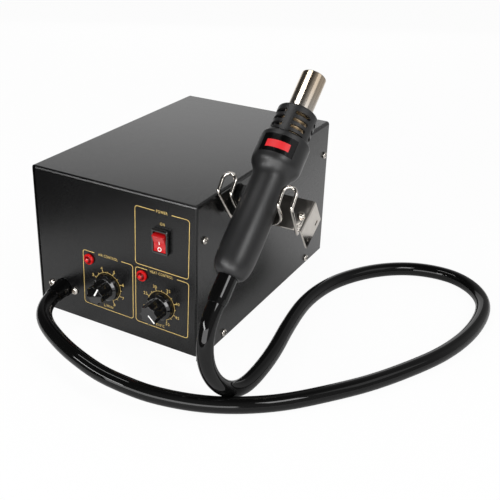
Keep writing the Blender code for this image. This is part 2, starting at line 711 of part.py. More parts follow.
def guard_slots():
    """Wedges that cut the guard's slots: rows along its axis, groups around it."""
    inner, outer = GUARD_BORE - 3, GUARD + 4
    half = math.radians(SLOT_SPAN / 2)
    bm = bmesh.new()
    for group in range(SLOT_GROUPS):
        middle = math.tau * group / SLOT_GROUPS
        for row in SLOT_ROWS:
            rings = []
            for height in (row - SLOT_HEIGHT / 2, row + SLOT_HEIGHT / 2):
                corners = ((inner, -half), (outer, -half), (outer, half), (inner, half))
                rings.append([
                    bm.verts.new(mm(r * math.cos(middle + turn), r * math.sin(middle + turn), height))
                    for r, turn in corners
                ])
            low, high = rings
            bm.faces.new(low[::-1])
            bm.faces.new(high)
            for k in range(4):
                after = (k + 1) % 4
                bm.faces.new((low[k], low[after], high[after], high[k]))
    return from_bmesh(bm)


def hose(station):
    """Air hose from the gland, across the bench and up into the handset, with its rubber sleeve."""
    rise = math.radians(HANDSET_RISE)
    x, y, z = HANDSET_AT
    end_of_sleeve = SLEEVE_END - GAP
    along_axis = [
        mm(x, y + reach * math.cos(rise), z + reach * math.sin(rise))
        for reach in (end_of_sleeve - 13, end_of_sleeve)
    ]
    out_of_gland = [mm(GLAND[0], depth, GLAND[1]) for depth in (SHEET, -8)]
    whole = smooth_route([*out_of_gland, *(mm(*point) for point in HOSE_ROUTE), *along_axis], 1.0 * MM)
    sleeve_end = whole[GLAND_SLEEVE_LENGTH]
    ahead = (whole[GLAND_SLEEVE_LENGTH + 1] - sleeve_end).normalized() * MM
    square = 2
    sleeve = [*whole[0:GLAND_SLEEVE_LENGTH - square:4], sleeve_end - ahead * square, sleeve_end]
    rod("gland_sleeve", sleeve, GLAND_SLEEVE, "hose_rubber", station, 3, GLAND_SLEEVE_TAPER)
    spaced = whole[GLAND_SLEEVE_LENGTH + HOSE_STEP // 2:-HOSE_STEP // 2:HOSE_STEP]
    start = [sleeve_end + ahead * GAP, sleeve_end + ahead * (GAP + square)]
    rod("hose", [*start, *spaced, whole[-1 - square], whole[-1]], HOSE, "hose_rubber", station)


def works(station):
    """Air pump, transformer, control board and the two air tubes inside the cabinet."""
    floor = TRAY_TOP + GAP
    pump = add("pump_body", boxes(((-8, 104, floor), (70, 218, floor + 3))), "zinc", station)
    arm_low, arm_high = 36.0, 48.0
    pivot = (34, 112)
    chamber_middle = (160, 42)
    join(
        pump,
        add("pump_chamber", boxes(((41, 131, floor + 1), (70, 189, 68))), None, station),
        add("pump_shoulder", drums(5, floor + 1, arm_low - GAP, (pivot,), 16), None, station),
        add("pump_post", drums(2.8, floor + 2, arm_high + 3, (pivot,), 16), None, station),
        add("pump_nipple", drums(2.6, 0, 15, sides=12), None, station, (56, 133, 42), (90, 0, 0)),
    )
    cut(pump, add("pump_recess", drums(17, -5, 9), None, station, (41, *chamber_middle), (0, 90, 0)))
    lever = boxes(((-1.5, -5, arm_low), (1.5, 94, arm_high)))
    arm = add("pump_arm", lever, "core_steel", station, (*pivot, 0))
    join(
        arm,
        add("arm_eye", drums(6, arm_low, arm_high, sides=16), None, station, (*pivot, 0)),
        add("arm_magnet", boxes(((-8, 80, arm_low - 2), (2, 95, arm_high + 2))), None, station, (*pivot, 0)),
    )
    cut(arm, add("arm_bore", drums(2.8 + GAP, 20, 60, sides=16), None, station, (*pivot, 0)))
    turned(
        "pump_diaphragm",
        ((0, 3.5), (16.2, 3.5), (16.2, 1.0), (9.0, 1.0), (7.0, 2.0), (4.0, 2.0), (4.0, -4.9), (0, -4.9)),
        16, "membrane", station, (41, *chamber_middle), (0, 90, 0),
    )
    coil = add("pump_coil", boxes(((-5, 183, floor + 3 + GAP), (9, 213, 62))), "core_steel", station)
    winding = add("coil_winding", boxes(((-7, 180, 28), (19, 216, 55))), None, station)
    round_edges(winding, 3.0)
    join(coil, winding)

    transformer = add("transformer", boxes(((-72, 165, floor), (-18, 203, 62))), "core_steel", station)
    bobbin = add("bobbin", boxes(((-60, 154, 22), (-30, 214, 57))), None, station)
    round_edges(bobbin, 3.0)
    tabs = add("transformer_tabs", boxes(((-72, 158, floor), (-18, 210, floor + 1.6))), None, station)
    join(transformer, bobbin, tabs)

    board = add("control_board", boxes(((-74, 78, 25), (-20, 138, 26.6))), "board", station)
    posts = [(x, y) for x in (-70, -24) for y in (82, 134)]
    fins = [((-66 + 8 * k, 112, 26), (-64.5 + 8 * k, 126, 52)) for k in range(5)]
    join(
        board,
        add("board_posts", drums(3, floor, 25.8, posts, 8), None, station),
        add("capacitors", drums(7, 26, 50, ((-60, 94), (-42, 94)), 10), None, station),
        add("heat_sink", boxes(((-68, 117, 26), (-32, 119.5, 55))), None, station),
    )
    join(board, add("heat_sink_fins", boxes(*fins), None, station))

    valve_x, valve_z = AIR_KNOB
    nipple_end = 28 + GAP
    pump_route = (
        (56, 118 - GAP, 42), (56, 104, 42), (48, 84, 43), (26, 64, 45), (6, 54, 47),
        (valve_x + 5.5, 42, valve_z), (valve_x + 5.5, nipple_end, valve_z),
    )
    gland_route = (
        (valve_x - 5.5, nipple_end, valve_z), (valve_x - 5.5, 40, valve_z), (-22, 54, 44), (-36, 60, 39),
        (-50, 54, 35), (GLAND[0], 40, GLAND[1]), (GLAND[0], 24 + GAP, GLAND[1]),
    )
    for name, route in (("pump_tube", pump_route), ("valve_tube", gland_route)):
        rod(name, smooth_route([mm(*point) for point in route], 10 * MM), 4.0, "clear_tube", station)


def main():
    station = frame("station", at=(-MIDDLE_X, -MIDDLE_Y, 0))
    front = frame("front_face", station, turn=(90, 0, 0))
    rear = frame("rear_face", station, (0, DEPTH, 0), (90, 0, 180))
    tilted = frame("cradle_frame", station, CRADLE_AT, (CRADLE_TILT, 0, 0))
    axis = frame("handset_axis", station, HANDSET_AT, (HANDSET_RISE - 90, 0, 0))
    bpy.context.view_layer.update()
    cover_cutters = cradle(tilted, station)
    cabinet(station, cover_cutters, front_controls(front), rear_fittings(rear))
    handset(axis)
    hose(station)
    works(station)


main()
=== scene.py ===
"""The finished look of a hot air station: a black steel cabinet with two dials, a rubber hose and a
heated handset that lies in a bent wire cradle.

Pieces are laid out in millimetres from the cabinet, with x = 0 on its middle, y = 0 on its front
face and z = 0 on the bench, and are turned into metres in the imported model's own frame.
"""
import math

import bmesh
import bpy
from mathutils import Matrix, Vector
from mathutils.geometry import interpolate_bezier


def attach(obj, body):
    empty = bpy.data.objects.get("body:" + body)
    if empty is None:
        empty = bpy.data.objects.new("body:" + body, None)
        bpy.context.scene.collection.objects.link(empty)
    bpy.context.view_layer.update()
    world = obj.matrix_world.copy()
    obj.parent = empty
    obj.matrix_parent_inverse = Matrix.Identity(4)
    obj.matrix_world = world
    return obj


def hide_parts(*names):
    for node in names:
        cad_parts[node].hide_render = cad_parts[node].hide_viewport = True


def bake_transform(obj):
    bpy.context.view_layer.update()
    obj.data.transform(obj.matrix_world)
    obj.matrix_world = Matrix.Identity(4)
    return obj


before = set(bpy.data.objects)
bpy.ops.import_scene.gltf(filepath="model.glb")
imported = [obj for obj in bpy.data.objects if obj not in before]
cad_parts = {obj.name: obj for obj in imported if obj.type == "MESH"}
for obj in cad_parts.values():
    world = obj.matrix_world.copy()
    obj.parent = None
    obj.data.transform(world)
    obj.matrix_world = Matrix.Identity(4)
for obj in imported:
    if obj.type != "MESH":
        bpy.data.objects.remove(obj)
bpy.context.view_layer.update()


# The view
# A long lens stands to the right of the front and looks a little down on the station. The station
# lies beside the middle of the picture, so the lens is shifted.
VIEW_RIGHT = Vector((0.8660, 0.4997, 0.0201))
VIEW_UP = Vector((-0.2249, 0.3532, 0.9081))
VIEW_BACK = Vector((0.4466, -0.7909, 0.4183))
VIEW_PLACE = Vector((0.34852, -0.59746, 0.39797))

lens = bpy.data.cameras.new("camera")
lens.lens = 60.05
lens.sensor_width = 36.0
lens.shift_x = 0.05
lens.shift_y = -0.06
camera = bpy.data.objects.new("camera", lens)
facing = Matrix((VIEW_RIGHT, VIEW_UP, VIEW_BACK)).transposed()
camera.matrix_world = Matrix.Translation(VIEW_PLACE) @ facing.to_4x4()
bpy.context.scene.collection.objects.link(camera)
bpy.context.scene.camera = camera
bpy.context.scene.view_settings.view_transform = "Standard"


# The studio
# A white sheet on a bench, whose front left edge lies close to the cabinet, in a room that is dark in
# front.
# To the camera the sheet is white; in reflections it carries a painted pool of light, bright behind and
# to the left and only lamp-lit in front and on the right. A broad screen stands behind on the left, one
# strip lamp hangs above and one stands in front on the left, and soft boxes stand in front, on the
# right and beside the camera.
class Signal:
    """A socket of a node tree. Sums on it add Math nodes, and node() adds any other kind."""

    def __init__(self, tree, socket=None):
        self.tree = tree
        self.socket = socket

    def node(self, kind, settings, inputs, output=0):
        added = self.tree.nodes.new(kind)
        for name, value in settings.items():
            setattr(added, name, value)
        for name, value in inputs.items():
            if isinstance(value, Signal):
                self.tree.links.new(value.socket, added.inputs[name])
            else:
                added.inputs[name].default_value = value
        return Signal(self.tree, added.outputs[output])

    def maths(self, operation, first, second):
        return self.node("ShaderNodeMath", {"operation": operation}, {0: first, 1: second})

    def __add__(self, other):
        return self.maths("ADD", self, other)

    def __sub__(self, other):
        return self.maths("SUBTRACT", self, other)

    def __rsub__(self, other):
        return self.maths("SUBTRACT", other, self)

    def __mul__(self, other):
        return self.maths("MULTIPLY", self, other)

    def __pow__(self, other):
        return self.maths("POWER", self, other)

    __radd__ = __add__
    __rmul__ = __mul__

    def within(self, low, high):
        """Rises from 0 at low to 1 at high."""
        settings = {"interpolation_type": "SMOOTHSTEP"}
        return self.node("ShaderNodeMapRange", settings, {0: self, 1: low, 2: high})

    def mix(self, low, high):
        """A colour from low, where this is 0, to high, where it is 1."""
        return self.node("ShaderNodeMix", {"data_type": "RGBA"}, {0: self, 6: low, 7: high}, 2)

    def noise(self, scale, detail=2.0):
        """Cloudy values about 0.5, on this place."""
        inputs = {"Vector": self, "Scale": scale, "Detail": detail}
        return self.node("ShaderNodeTexNoise", {}, inputs, "Fac")

    def stretched(self, x, y, z):
        """This place, scaled in each direction."""
        settings = {"operation": "MULTIPLY"}
        return self.node("ShaderNodeVectorMath", settings, {0: self, 1: (x, y, z)})

    def axis(self, name):
        """One coordinate of this place."""
        return self.node("ShaderNodeSeparateXYZ", {}, {0: self}, name)

    def bump(self, depth, strength):
        """A surface normal from this as a height of the given depth in metres."""
        inputs = {"Height": self, "Distance": depth, "Strength": strength}
        return self.node("ShaderNodeBump", {}, inputs)


def soft_box(name, place, target, size, power):
    """A rectangular lamp at a place in metres, turned to a target, with its power in watts."""
    lamp = bpy.data.lights.new(name, "AREA")
    lamp.shape = "RECTANGLE"
    lamp.size, lamp.size_y = size
    lamp.energy = power
    item = bpy.data.objects.new(name, lamp)
    away = (Vector(place) - Vector(target)).to_track_quat("Z", "Y").to_matrix().to_4x4()
    item.matrix_world = Matrix.Translation(place) @ away
    bpy.context.scene.collection.objects.link(item)


soft_box("screen_behind", (-0.55, 1.05, 0.36), (0.0, 0.05, 0.10), (1.15, 0.6), 1.9)
soft_box("strip_lamp_above", (-0.27, -0.17, 1.05), (-0.236, -0.014, 0.20), (0.60, 0.10), 1.6)
soft_box("soft_box_right", (0.89, 0.12, 0.78), (0.084, 0.0, 0.21), (0.5, 0.4), 0.6)
soft_box("soft_box_by_camera", (0.745, -0.39, 0.805), (0.084, -0.115, 0.105), (0.34, 0.28), 2.9)
soft_box("strip_lamp_left", (-0.42, -1.13, 0.53), (0.02, -0.17, 0.03), (1.0, 0.10), 6.5)
soft_box("soft_box_front", (0.30, -1.30, 0.27), (0.05, 0.0, 0.12), (1.4, 0.48), 11.5)

world = bpy.data.worlds.new("surroundings")
bpy.context.scene.world = world
world.use_nodes = True
sky = Signal(world.node_tree)
toward = sky.node("ShaderNodeTexCoord", {}, {}, "Generated")
behind = toward.axis("Y").within(0.2, 0.8)
right = toward.axis("X").within(0.1, 0.7)
seen = sky.node("ShaderNodeLightPath", {}, {}, "Is Camera Ray")
mirrored = sky.node("ShaderNodeLightPath", {}, {}, "Is Glossy Ray")
through = sky.node("ShaderNodeLightPath", {}, {}, "Is Transmission Ray")
daylight = 0.34 + 0.3 * behind
room = 0.04 + 0.25 * behind + 0.3 * right
around = (1 - mirrored) * daylight + mirrored * room
world_light = (1 - seen) * around + seen + 0.4 * through
backdrop = world.node_tree.nodes["Background"]
backdrop.inputs["Color"].default_value = (1.0, 1.0, 1.0, 1.0)
world.node_tree.links.new(world_light.socket, backdrop.inputs["Strength"])

sheet = bpy.data.meshes.new("white_sheet")
sheet_corners = ((-3.0, 3.10), (2.0, -2.93), (4.0, -2.93), (4.0, 4.0), (-3.0, 4.0))
sheet.from_pydata([(x, y, 0.0) for x, y in sheet_corners], [], [range(len(sheet_corners))])
bench = bpy.data.objects.new("bench", sheet)
bpy.context.scene.collection.objects.link(bench)
white = bpy.data.materials.new("white_paper")
white.use_nodes = True
sheet.materials.append(white)
tree = white.node_tree
paper = Signal(tree)
to_camera = paper.node("ShaderNodeLightPath", {}, {}, "Is Camera Ray")
to_metal = paper.node("ShaderNodeLightPath", {}, {}, "Is Glossy Ray")
to_glass = paper.node("ShaderNodeLightPath", {}, {}, "Is Transmission Ray")
glow = paper.node("ShaderNodeEmission", {}, {"Color": (1, 1, 1, 1), "Strength": 1.0})
matt = paper.node("ShaderNodeBsdfDiffuse", {}, {"Color": (0.9, 0.9, 0.9, 1)})
# Painted pool of light, for reflections only: the sheet glows white behind a slanted line and left of
# about x = 0.2 m, and elsewhere shows only its lamp-lit shade.
spot = paper.node("ShaderNodeTexCoord", {}, {}, "Object")
rightward = spot.axis("X")
painted_light_behind = (spot.axis("Y") - 0.6 * rightward + 0.04).within(0.05, 0.18)
painted_light_left = 1 - rightward.within(0.16, 0.205)
painted_reflection_light = 0.05 + 0.95 * painted_light_behind * painted_light_left
lit = 0.95 * to_camera + painted_reflection_light * to_metal + 0.95 * to_glass
surface = paper.node("ShaderNodeMixShader", {}, {0: lit, 1: matt, 2: glow})
tree.links.new(surface.socket, tree.nodes["Material Output"].inputs["Surface"])


# Air hose
# A plain black rubber hose, 13 mm thick, from the gland on the front panel across the bench, round
# in one big loop on the right and up into the tail of the handset. It is seen from end to end.
MM = 0.001
MIDDLE_X = 32.4
MIDDLE_Y = 108.8
STATION = Matrix.Translation(Vector((-MIDDLE_X, -MIDDLE_Y, 0)) * MM)
GLAND = (-56.0, 34.8)
HANDSET_AT = (116.6, 29.8, 141.3)
HANDSET_RISE = math.radians(42.0)
HOSE = 6.6
HOSE_SIDES = 28
HOSE_STEP = 1.0
HOSE_EASE = 10
HOSE_STRIDE = 4
HOSE_END = -82.3
TAIL_RUN = 13.0
GLAND_RUN = (1.2, -8.0)
GLAND_SLEEVE_LENGTH = 20
LIES = 6.7
HOSE_ROUTE = (
    (-54, -20, 34), (-47, -37, 33.3), (-32, -52, 33), (-12, -62, 31), (7, -69, 29), (25, -73, 27),
    (42, -75, 24), (62, -73, 21), (78, -69, 17), (95, -61, 13), (110, -53, 10), (127, -42, 7.4),
    (145, -30, LIES), (165, -14, LIES), (185, 8, LIES), (215, 47, LIES), (242, 95, LIES),
    (254, 124, LIES), (262, 157, LIES), (264, 193, LIES), (259, 221, LIES), (246, 241, LIES),
    (231, 252, LIES), (215, 257, LIES), (186, 253, LIES), (160, 237, LIES), (139, 212, LIES),
    (123, 178, LIES), (117, 135, LIES), (122, 86, LIES), (129, 46, LIES), (132, 10, LIES),
    (131, -16, 8), (126, -36, 19), (120, -48, 40), (117, -48, 61),
)


def mm(x, y, z):
    """A point given in millimetres."""
    return Vector((x, y, z)) * MM


def smooth_route(points, step, fineness=40):
    """Points at an even step along a smooth curve through the given points."""
    last = len(points) - 1
    slopes = []
    for i in range(last + 1):
        slopes.append((points[min(i + 1, last)] - points[max(i - 1, 0)]).normalized())
    fine = []
    for i in range(last):
        start, end = points[i], points[i + 1]
        handle = (end - start).length / 3
        leaving = start + slopes[i] * handle
        arriving = end - slopes[i + 1] * handle
        fine += interpolate_bezier(start, leaving, arriving, end, fineness)[:-1]
    fine.append(points[-1])
    travelled = [0.0]
    for a, b in zip(fine, fine[1:]):
        travelled.append(travelled[-1] + (b - a).length)
    pieces = max(round(travelled[-1] / step), 2)
    even = []
    i = 0
    for k in range(pieces + 1):
        wanted = travelled[-1] * k / pieces
        while i < len(fine) - 2 and travelled[i + 1] < wanted:
            i += 1
        share = (wanted - travelled[i]) / (travelled[i + 1] - travelled[i])
        even.append(fine[i].lerp(fine[i + 1], share))
    return even


def relaxed(points, reach):
    """Points that are each moved to the mean of those within reach on either side; the ends stay."""
    last = len(points) - 1
    eased_out = []
    for i in range(last + 1):
        span = min(reach, i, last - i)
        near = points[i - span:i + span + 1]
        eased_out.append(sum(near, Vector()) / len(near))
    return eased_out


def smooth_mesh(bm, sharp=35.0):
    """Mesh data, shaded smooth except across sharp edges."""
    bmesh.ops.recalc_face_normals(bm, faces=bm.faces)
    mesh = bpy.data.meshes.new("shape")
    bm.to_mesh(mesh)
    bm.free()
    mesh.shade_smooth()
    mesh.set_sharp_from_angle(angle=math.radians(sharp))
    return mesh


def bar(points, radii, sides):
    """A round bar along points in metres, with a radius in millimetres at each, closed at both ends."""
    bm = bmesh.new()
    rings = []
    side_on = Vector((0, 0, 1))
    for i, place in enumerate(points):
        ahead = (points[min(i + 1, len(points) - 1)] - points[max(i - 1, 0)]).normalized()
        across = ahead.cross(side_on).normalized()
        side_on = across.cross(ahead)
        ring = []
        for k in range(sides):
            angle = 2 * math.pi * k / sides
            out = across * math.cos(angle) + side_on * math.sin(angle)
            ring.append(bm.verts.new(place + out * radii[i] * MM))
        rings.append(ring)
    for ring, following in zip(rings, rings[1:]):
        for k in range(sides):
            bm.faces.new((ring[k], ring[k - 1], following[k - 1], following[k]))
    bm.faces.new(rings[0])
    bm.faces.new(reversed(rings[-1]))
    return smooth_mesh(bm, 50.0)


def finish(name, fixed, pattern):
    """A material with fixed shader values and a pattern(place) that gives the changing ones."""
    material = bpy.data.materials.new(name)
    material.use_nodes = True
    nodes = material.node_tree
    shader = nodes.nodes["Principled BSDF"]
    for socket, value in fixed.items():
        shader.inputs[socket].default_value = value
    place = Signal(nodes).node("ShaderNodeTexCoord", {}, {}, "Object")
    for socket, value in pattern(place).items():
        nodes.links.new(value.socket, shader.inputs[socket])
    return material


def piece(name, mesh, material, body, *nodes, place=STATION):
    """A finished piece at its place, which rides on a body and stands for CAD nodes. The shading of
    one that rides on a body is led by its larger faces, so that they look flat up to their edges."""
    item = bpy.data.objects.new(name, mesh)
    item.matrix_world = place
    bpy.context.scene.collection.objects.link(item)
    if not mesh.materials:
        mesh.materials.append(material)
    if body:
        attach(item, body)
        flat_faces = item.modifiers.new("flat_faces", "WEIGHTED_NORMAL")
        flat_faces.keep_sharp = True
    if nodes:
        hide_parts(*nodes)
    return item


def hose_rubber(place):
    cloud = place.noise(35.0, 3.0)
    return {
        "Base Color": cloud.mix((0.0015, 0.0015, 0.0015, 1), (0.003, 0.003, 0.003, 1)),
        "Roughness": 0.03 + 0.04 * cloud,
    }


rubber_hose = finish("hose_rubber", {"Specular IOR Level": 0.28}, hose_rubber)
up_the_axis = Vector((0, math.cos(HANDSET_RISE), math.sin(HANDSET_RISE)))
tail_points = [mm(*HANDSET_AT) + up_the_axis * (HOSE_END - back) * MM for back in (TAIL_RUN, 0.0)]
gland_points = [mm(GLAND[0], depth, GLAND[1]) for depth in GLAND_RUN]
bench_points = [mm(*point) for point in HOSE_ROUTE]
whole_route = smooth_route([*gland_points, *bench_points, *tail_points], HOSE_STEP * MM)
whole_route = relaxed(relaxed(whole_route, HOSE_EASE), HOSE_EASE)
whole_route = [STATION @ point for point in whole_route]
hose_route = [*whole_route[GLAND_SLEEVE_LENGTH:-1:HOSE_STRIDE], whole_route[-1]]
hose_length = sum((b - a).length for a, b in zip(hose_route, hose_route[1:]))
hose_shape = bar(hose_route, [HOSE] * len(hose_route), HOSE_SIDES)
hose = piece("air_hose", hose_shape, rubber_hose, None, "hose", place=Matrix.Identity(4))
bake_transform(hose)


# Cabinet
# A bent steel cover over a folded front panel, rear panel and floor tray. The visible sheets have a
# fine black powder coat; the tray is plain zinc-plated steel.
def dress(material, *nodes):
    """Give CAD nodes their finish."""
    for node in nodes:
        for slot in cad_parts[node].material_slots:
            slot.material = material


def powder_coat(place):
    cloud = place.noise(9.0, 3.0)
    grain = place.noise(1800.0, 3.0)
    return {
        "Base Color": cloud.mix((0.002, 0.002, 0.0021, 1), (0.0034, 0.0034, 0.0036, 1)),
        "Roughness": 0.22 + 0.05 * cloud + 0.05 * grain,
        "Normal": grain.bump(0.00003, 0.3),
    }


def zinc_plate(place):
    cloud = place.noise(60.0, 4.0)
    grain = place.noise(700.0)
    return {
        "Base Color": cloud.mix((0.42, 0.42, 0.41, 1), (0.60, 0.60, 0.57, 1)),
        "Roughness": 0.28 + 0.2 * cloud + 0.06 * grain,
        "Normal": grain.bump(0.00002, 0.3),
    }


black_coat = finish("black_coat", {"Specular IOR Level": 0.5}, powder_coat)
zinc = finish("zinc", {"Metallic": 1.0}, zinc_plate)
dress(black_coat, "cover", "front_panel", "rear_panel")
dress(zinc, "base_tray")


# Feet
# Four round feet of soft moulded rubber under the tray, each hollow below for the head of the screw
# that holds it.
def lathe(profile, steps=72):
    """A turned solid from (radius, height) points in millimetres down its outer side; a profile that
    starts off the axis closes on itself and makes a ring."""
    bm = bmesh.new()
    rings = []
    for radius, height in profile:
        if radius == 0:
            rings.append([bm.verts.new(mm(0, 0, height))])
            continue
        ring = []
        for k in range(steps):
            turn = 2 * math.pi * k / steps
            ring.append(bm.verts.new(mm(radius * math.cos(turn), radius * math.sin(turn), height)))
        rings.append(ring)
    pairs = list(zip(rings, rings[1:]))
    if profile[0][0] > 0:
        pairs.append((rings[-1], rings[0]))
    for upper, lower in pairs:
        for k in range(steps):
            corner = [upper[k % len(upper)], upper[k - 1 if len(upper) > 1 else 0]]
            corner += [lower[k - 1 if len(lower) > 1 else 0], lower[k % len(lower)]]
            bm.faces.new(dict.fromkeys(corner))
    return smooth_mesh(bm)


def eased(corners, steps=5):
    """A profile with its corners rounded, from (radius, height, rounding) in millimetres."""
    points = []
    count = len(corners)
    for i, (radius, height, rounding) in enumerate(corners):
        here = Vector((radius, height))
        if rounding == 0:
            points.append((radius, height))
            continue
        before = (Vector(corners[i - 1][:2]) - here).normalized()
        after = (Vector(corners[(i + 1) % count][:2]) - here).normalized()
        opening = before.angle(after)
        reach = rounding / math.tan(opening / 2)
        middle = here + (before + after).normalized() * (rounding / math.sin(opening / 2))
        start, end = here + before * reach - middle, here + after * reach - middle
        first = math.atan2(start.y, start.x)
        sweep = math.remainder(math.atan2(end.y, end.x) - first, 2 * math.pi)
        for k in range(steps + 1):
            turn = first + sweep * k / steps
            points.append((middle.x + rounding * math.cos(turn), middle.y + rounding * math.sin(turn)))
    return points


def foot_rubber(place):
    cloud = place.noise(120.0, 3.0)
    grain = place.noise(1200.0)
    return {
        "Base Color": cloud.mix((0.010, 0.010, 0.010, 1), (0.020, 0.020, 0.019, 1)),
        "Roughness": 0.55 + 0.2 * cloud,
        "Normal": grain.bump(0.00003, 0.4),
    }


soft_rubber = finish("foot_rubber", {"Specular IOR Level": 0.4}, foot_rubber)
FOOT_X = 62.0
FOOT_Y = {"front": 32.0, "rear": 223.0}
FOOT_TOP = 15.2
FOOT_HOLLOW = 5.0
FOOT_HOLLOW_TOP = 6.0
FOOT_BORE = 2.2
foot_shape = lathe(eased((
    (8.0, FOOT_TOP, 0.4), (9.6, 2.4, 1.0), (8.8, 0.0, 0.6), (FOOT_HOLLOW, 0.0, 0.5),
    (FOOT_HOLLOW, FOOT_HOLLOW_TOP, 0), (FOOT_BORE, FOOT_HOLLOW_TOP, 0), (FOOT_BORE, FOOT_TOP, 0),
)))
for end, y in FOOT_Y.items():
    for side, x in (("left", -FOOT_X), ("right", FOOT_X)):
        foot = piece(
            f"rubber_foot_{end}_{side}", foot_shape, soft_rubber, "root", f"foot_{end}_{side}",
            place=STATION @ Matrix.Translation(mm(x, y, 0)),
        )
        dress(zinc, f"foot_screw_{end}_{side}")


# Screws
# Nickel-plated steel screws with a turned pan head and a cross recess. They hold the cover on both
# sides, the hose gland on the front panel and the clamp under the cradle's shelf.
def solid(item_mesh, operation, *tools):
    """A mesh with tool meshes cut from it, joined to it or kept in common with it."""
    item = bpy.data.objects.new("blank", item_mesh)
    bpy.context.scene.collection.objects.link(item)
    helpers = []
    for tool in tools:
        helper = bpy.data.objects.new("tool", tool)
        bpy.context.scene.collection.objects.link(helper)
        helpers.append(helper)
        boolean = item.modifiers.new("shape", "BOOLEAN")
        boolean.operation = operation
        boolean.solver = "EXACT"
        boolean.object = helper
    bpy.context.view_layer.update()
    shaped = item.evaluated_get(bpy.context.evaluated_depsgraph_get())
    bm = bmesh.new()
    bm.from_mesh(bpy.data.meshes.new_from_object(shaped))
    for used in (item, *helpers):
        bpy.data.objects.remove(used, do_unlink=True)
    return smooth_mesh(bm)


def block(low, high):
    """A box between two corners in millimetres."""
    bm = bmesh.new()
    bmesh.ops.create_cube(bm, size=1.0)
    low, high = mm(*low), mm(*high)
    bmesh.ops.scale(bm, vec=high - low, verts=bm.verts)
    bmesh.ops.translate(bm, vec=(low + high) / 2, verts=bm.verts)
    return smooth_mesh(bm)


def nickel_plate(place):
    cloud = place.noise(160.0, 3.0)
    return {
        "Base Color": cloud.mix((0.60, 0.56, 0.51, 1), (0.74, 0.70, 0.65, 1)),
        "Roughness": 0.05 + 0.06 * cloud,
    }


nickel = finish("nickel", {"Metallic": 1.0}, nickel_plate)


def cross_head(head, height, shank, length):
    """A pan-head screw with its head on +z and the underside of the head at z = 0."""
    turned = lathe(
        (
            (0, height), (0.4 * head, 0.97 * height), (0.66 * head, 0.87 * height),
            (0.86 * head, 0.66 * height), (0.97 * head, 0.38 * height), (head, 0.15 * height),
            (0.97 * head, 0), (shank, 0), (shank, -length), (0, -length),
        ),
        40,
    )
    arm, wing = 0.6 * head, 0.16 * head
    low, high = 0.2 * height, 1.2 * height
    one_slot = block((-arm, -wing, low), (arm, wing, high))
    other_slot = block((-wing, -arm, low), (wing, arm, high))
    return solid(turned, "DIFFERENCE", one_slot, other_slot)


def nickel_screw(node, shape, place):
    """A plated screw on the cabinet, in place of its CAD node."""
    screw = piece(f"{node}_head", shape, nickel, "root", node, place=place)


HALF_WIDTH = 82.0
GAP = 0.3
COVER_SCREWS = {
    "upper_front": (9.0, 113.0), "upper_rear": (237.0, 112.5), "lower_front": (42.0, 11.5),
    "lower_rear": (207.0, 11.5),
}
cover_screw = cross_head(3.25, 2.2, 1.5, 8.0)
for corner, (y, z) in COVER_SCREWS.items():
    for side, sign in (("left", -1), ("right", 1)):
        seat = STATION @ Matrix.Translation(mm(sign * (HALF_WIDTH + GAP), y, z))
        outward = Matrix.Rotation(sign * math.pi / 2, 4, "Y")
        turn = Matrix.Rotation(0.4 + y, 4, "Z")
        nickel_screw(f"cover_screw_{corner}_{side}", cover_screw, seat @ outward @ turn)


# Panel print
# Gold ink, screen printed on the powder coat: three frames with their names, two dial scales, and a
# word above the switch.
FRONT_TURN = Matrix.Rotation(math.pi / 2, 4, "X")
FRONT = STATION @ FRONT_TURN
INK_STANDS = 0.05
LINE = 0.55
CAPITALS = 2.5
UNITS = 2.4
LETTER_SPACE = 1.2
FRAME_CORNER = 2.5
PRINT_LEAN = math.radians(1.1)
AIR_KNOB = (-7.2, 49.8)
HEAT_KNOB = (46.9, 48.2)
DIAL_START = math.radians(-155.0)
DIAL_SWEEP = math.radians(314.0)
DIAL_RADIUS = 13.0
DIAL_LINE = 0.3
MARK_LINE = 0.5
LONG_MARK = 2.4
SHORT_MARK = 1.3
FIGURES_AT = 17.0
FIGURE_HEIGHT = 2.7
FIGURE_WIDTH = 1.8
NARROW_FIGURE = 0.9
POWER_FRAME = (22.6, 73.6, 80.3, 131.8)
POWER_GAP = (41.2, 57.2)
HEAT_FRAME = (21.6, 73.0, 25.6, 77.0)
HEAT_GAP = (33.1, 61.9)
AIR_FRAME = (-32.6, 18.8, 26.9, 78.0)
AIR_GAP = (-20.6, 7.2)
PRINTED_WORDS = (
    ("POWER", 48.6, 132.0, 10.3, CAPITALS), ("HEAT CONTROL", 47.4, 77.0, 21.9, CAPITALS),
    ("AIR CONTROL", -6.0, 78.0, 19.9, CAPITALS), ("ON", 49.0, 121.9, 4.0, CAPITALS),
    ("L/MIN", -7.5, 30.4, 9.5, UNITS), ("X10\u00b0C", 45.5, 28.8, 8.5, UNITS),
)


def gold_ink(place):
    cloud = place.noise(300.0, 3.0)
    return {
        "Base Color": cloud.mix((0.52, 0.37, 0.11, 1), (0.64, 0.47, 0.16, 1)),
        "Roughness": 0.35 + 0.2 * cloud,
    }


ink = finish("gold_ink", {"Specular IOR Level": 0.5}, gold_ink)
white_ink = finish("white_ink", {"Specular IOR Level": 0.4}, lambda place: {
    "Base Color": place.noise(400.0).mix((0.72, 0.72, 0.70, 1), (0.84, 0.84, 0.82, 1)),
})


def ribbon(bm, points, width, height=INK_STANDS):
    """A flat line of ink along points, in millimetres on the panel."""
    edges = []
    for i, (x, y) in enumerate(points):
        ahead = Vector(points[min(i + 1, len(points) - 1)]) - Vector(points[max(i - 1, 0)])
        across = Vector((-ahead.y, ahead.x)).normalized() * width / 2
        left = bm.verts.new(mm(x + across.x, y + across.y, height))
        right = bm.verts.new(mm(x - across.x, y - across.y, height))
        edges.append((left, right))
    for (a, b), (c, d) in zip(edges, edges[1:]):
        bm.faces.new((a, b, d, c))


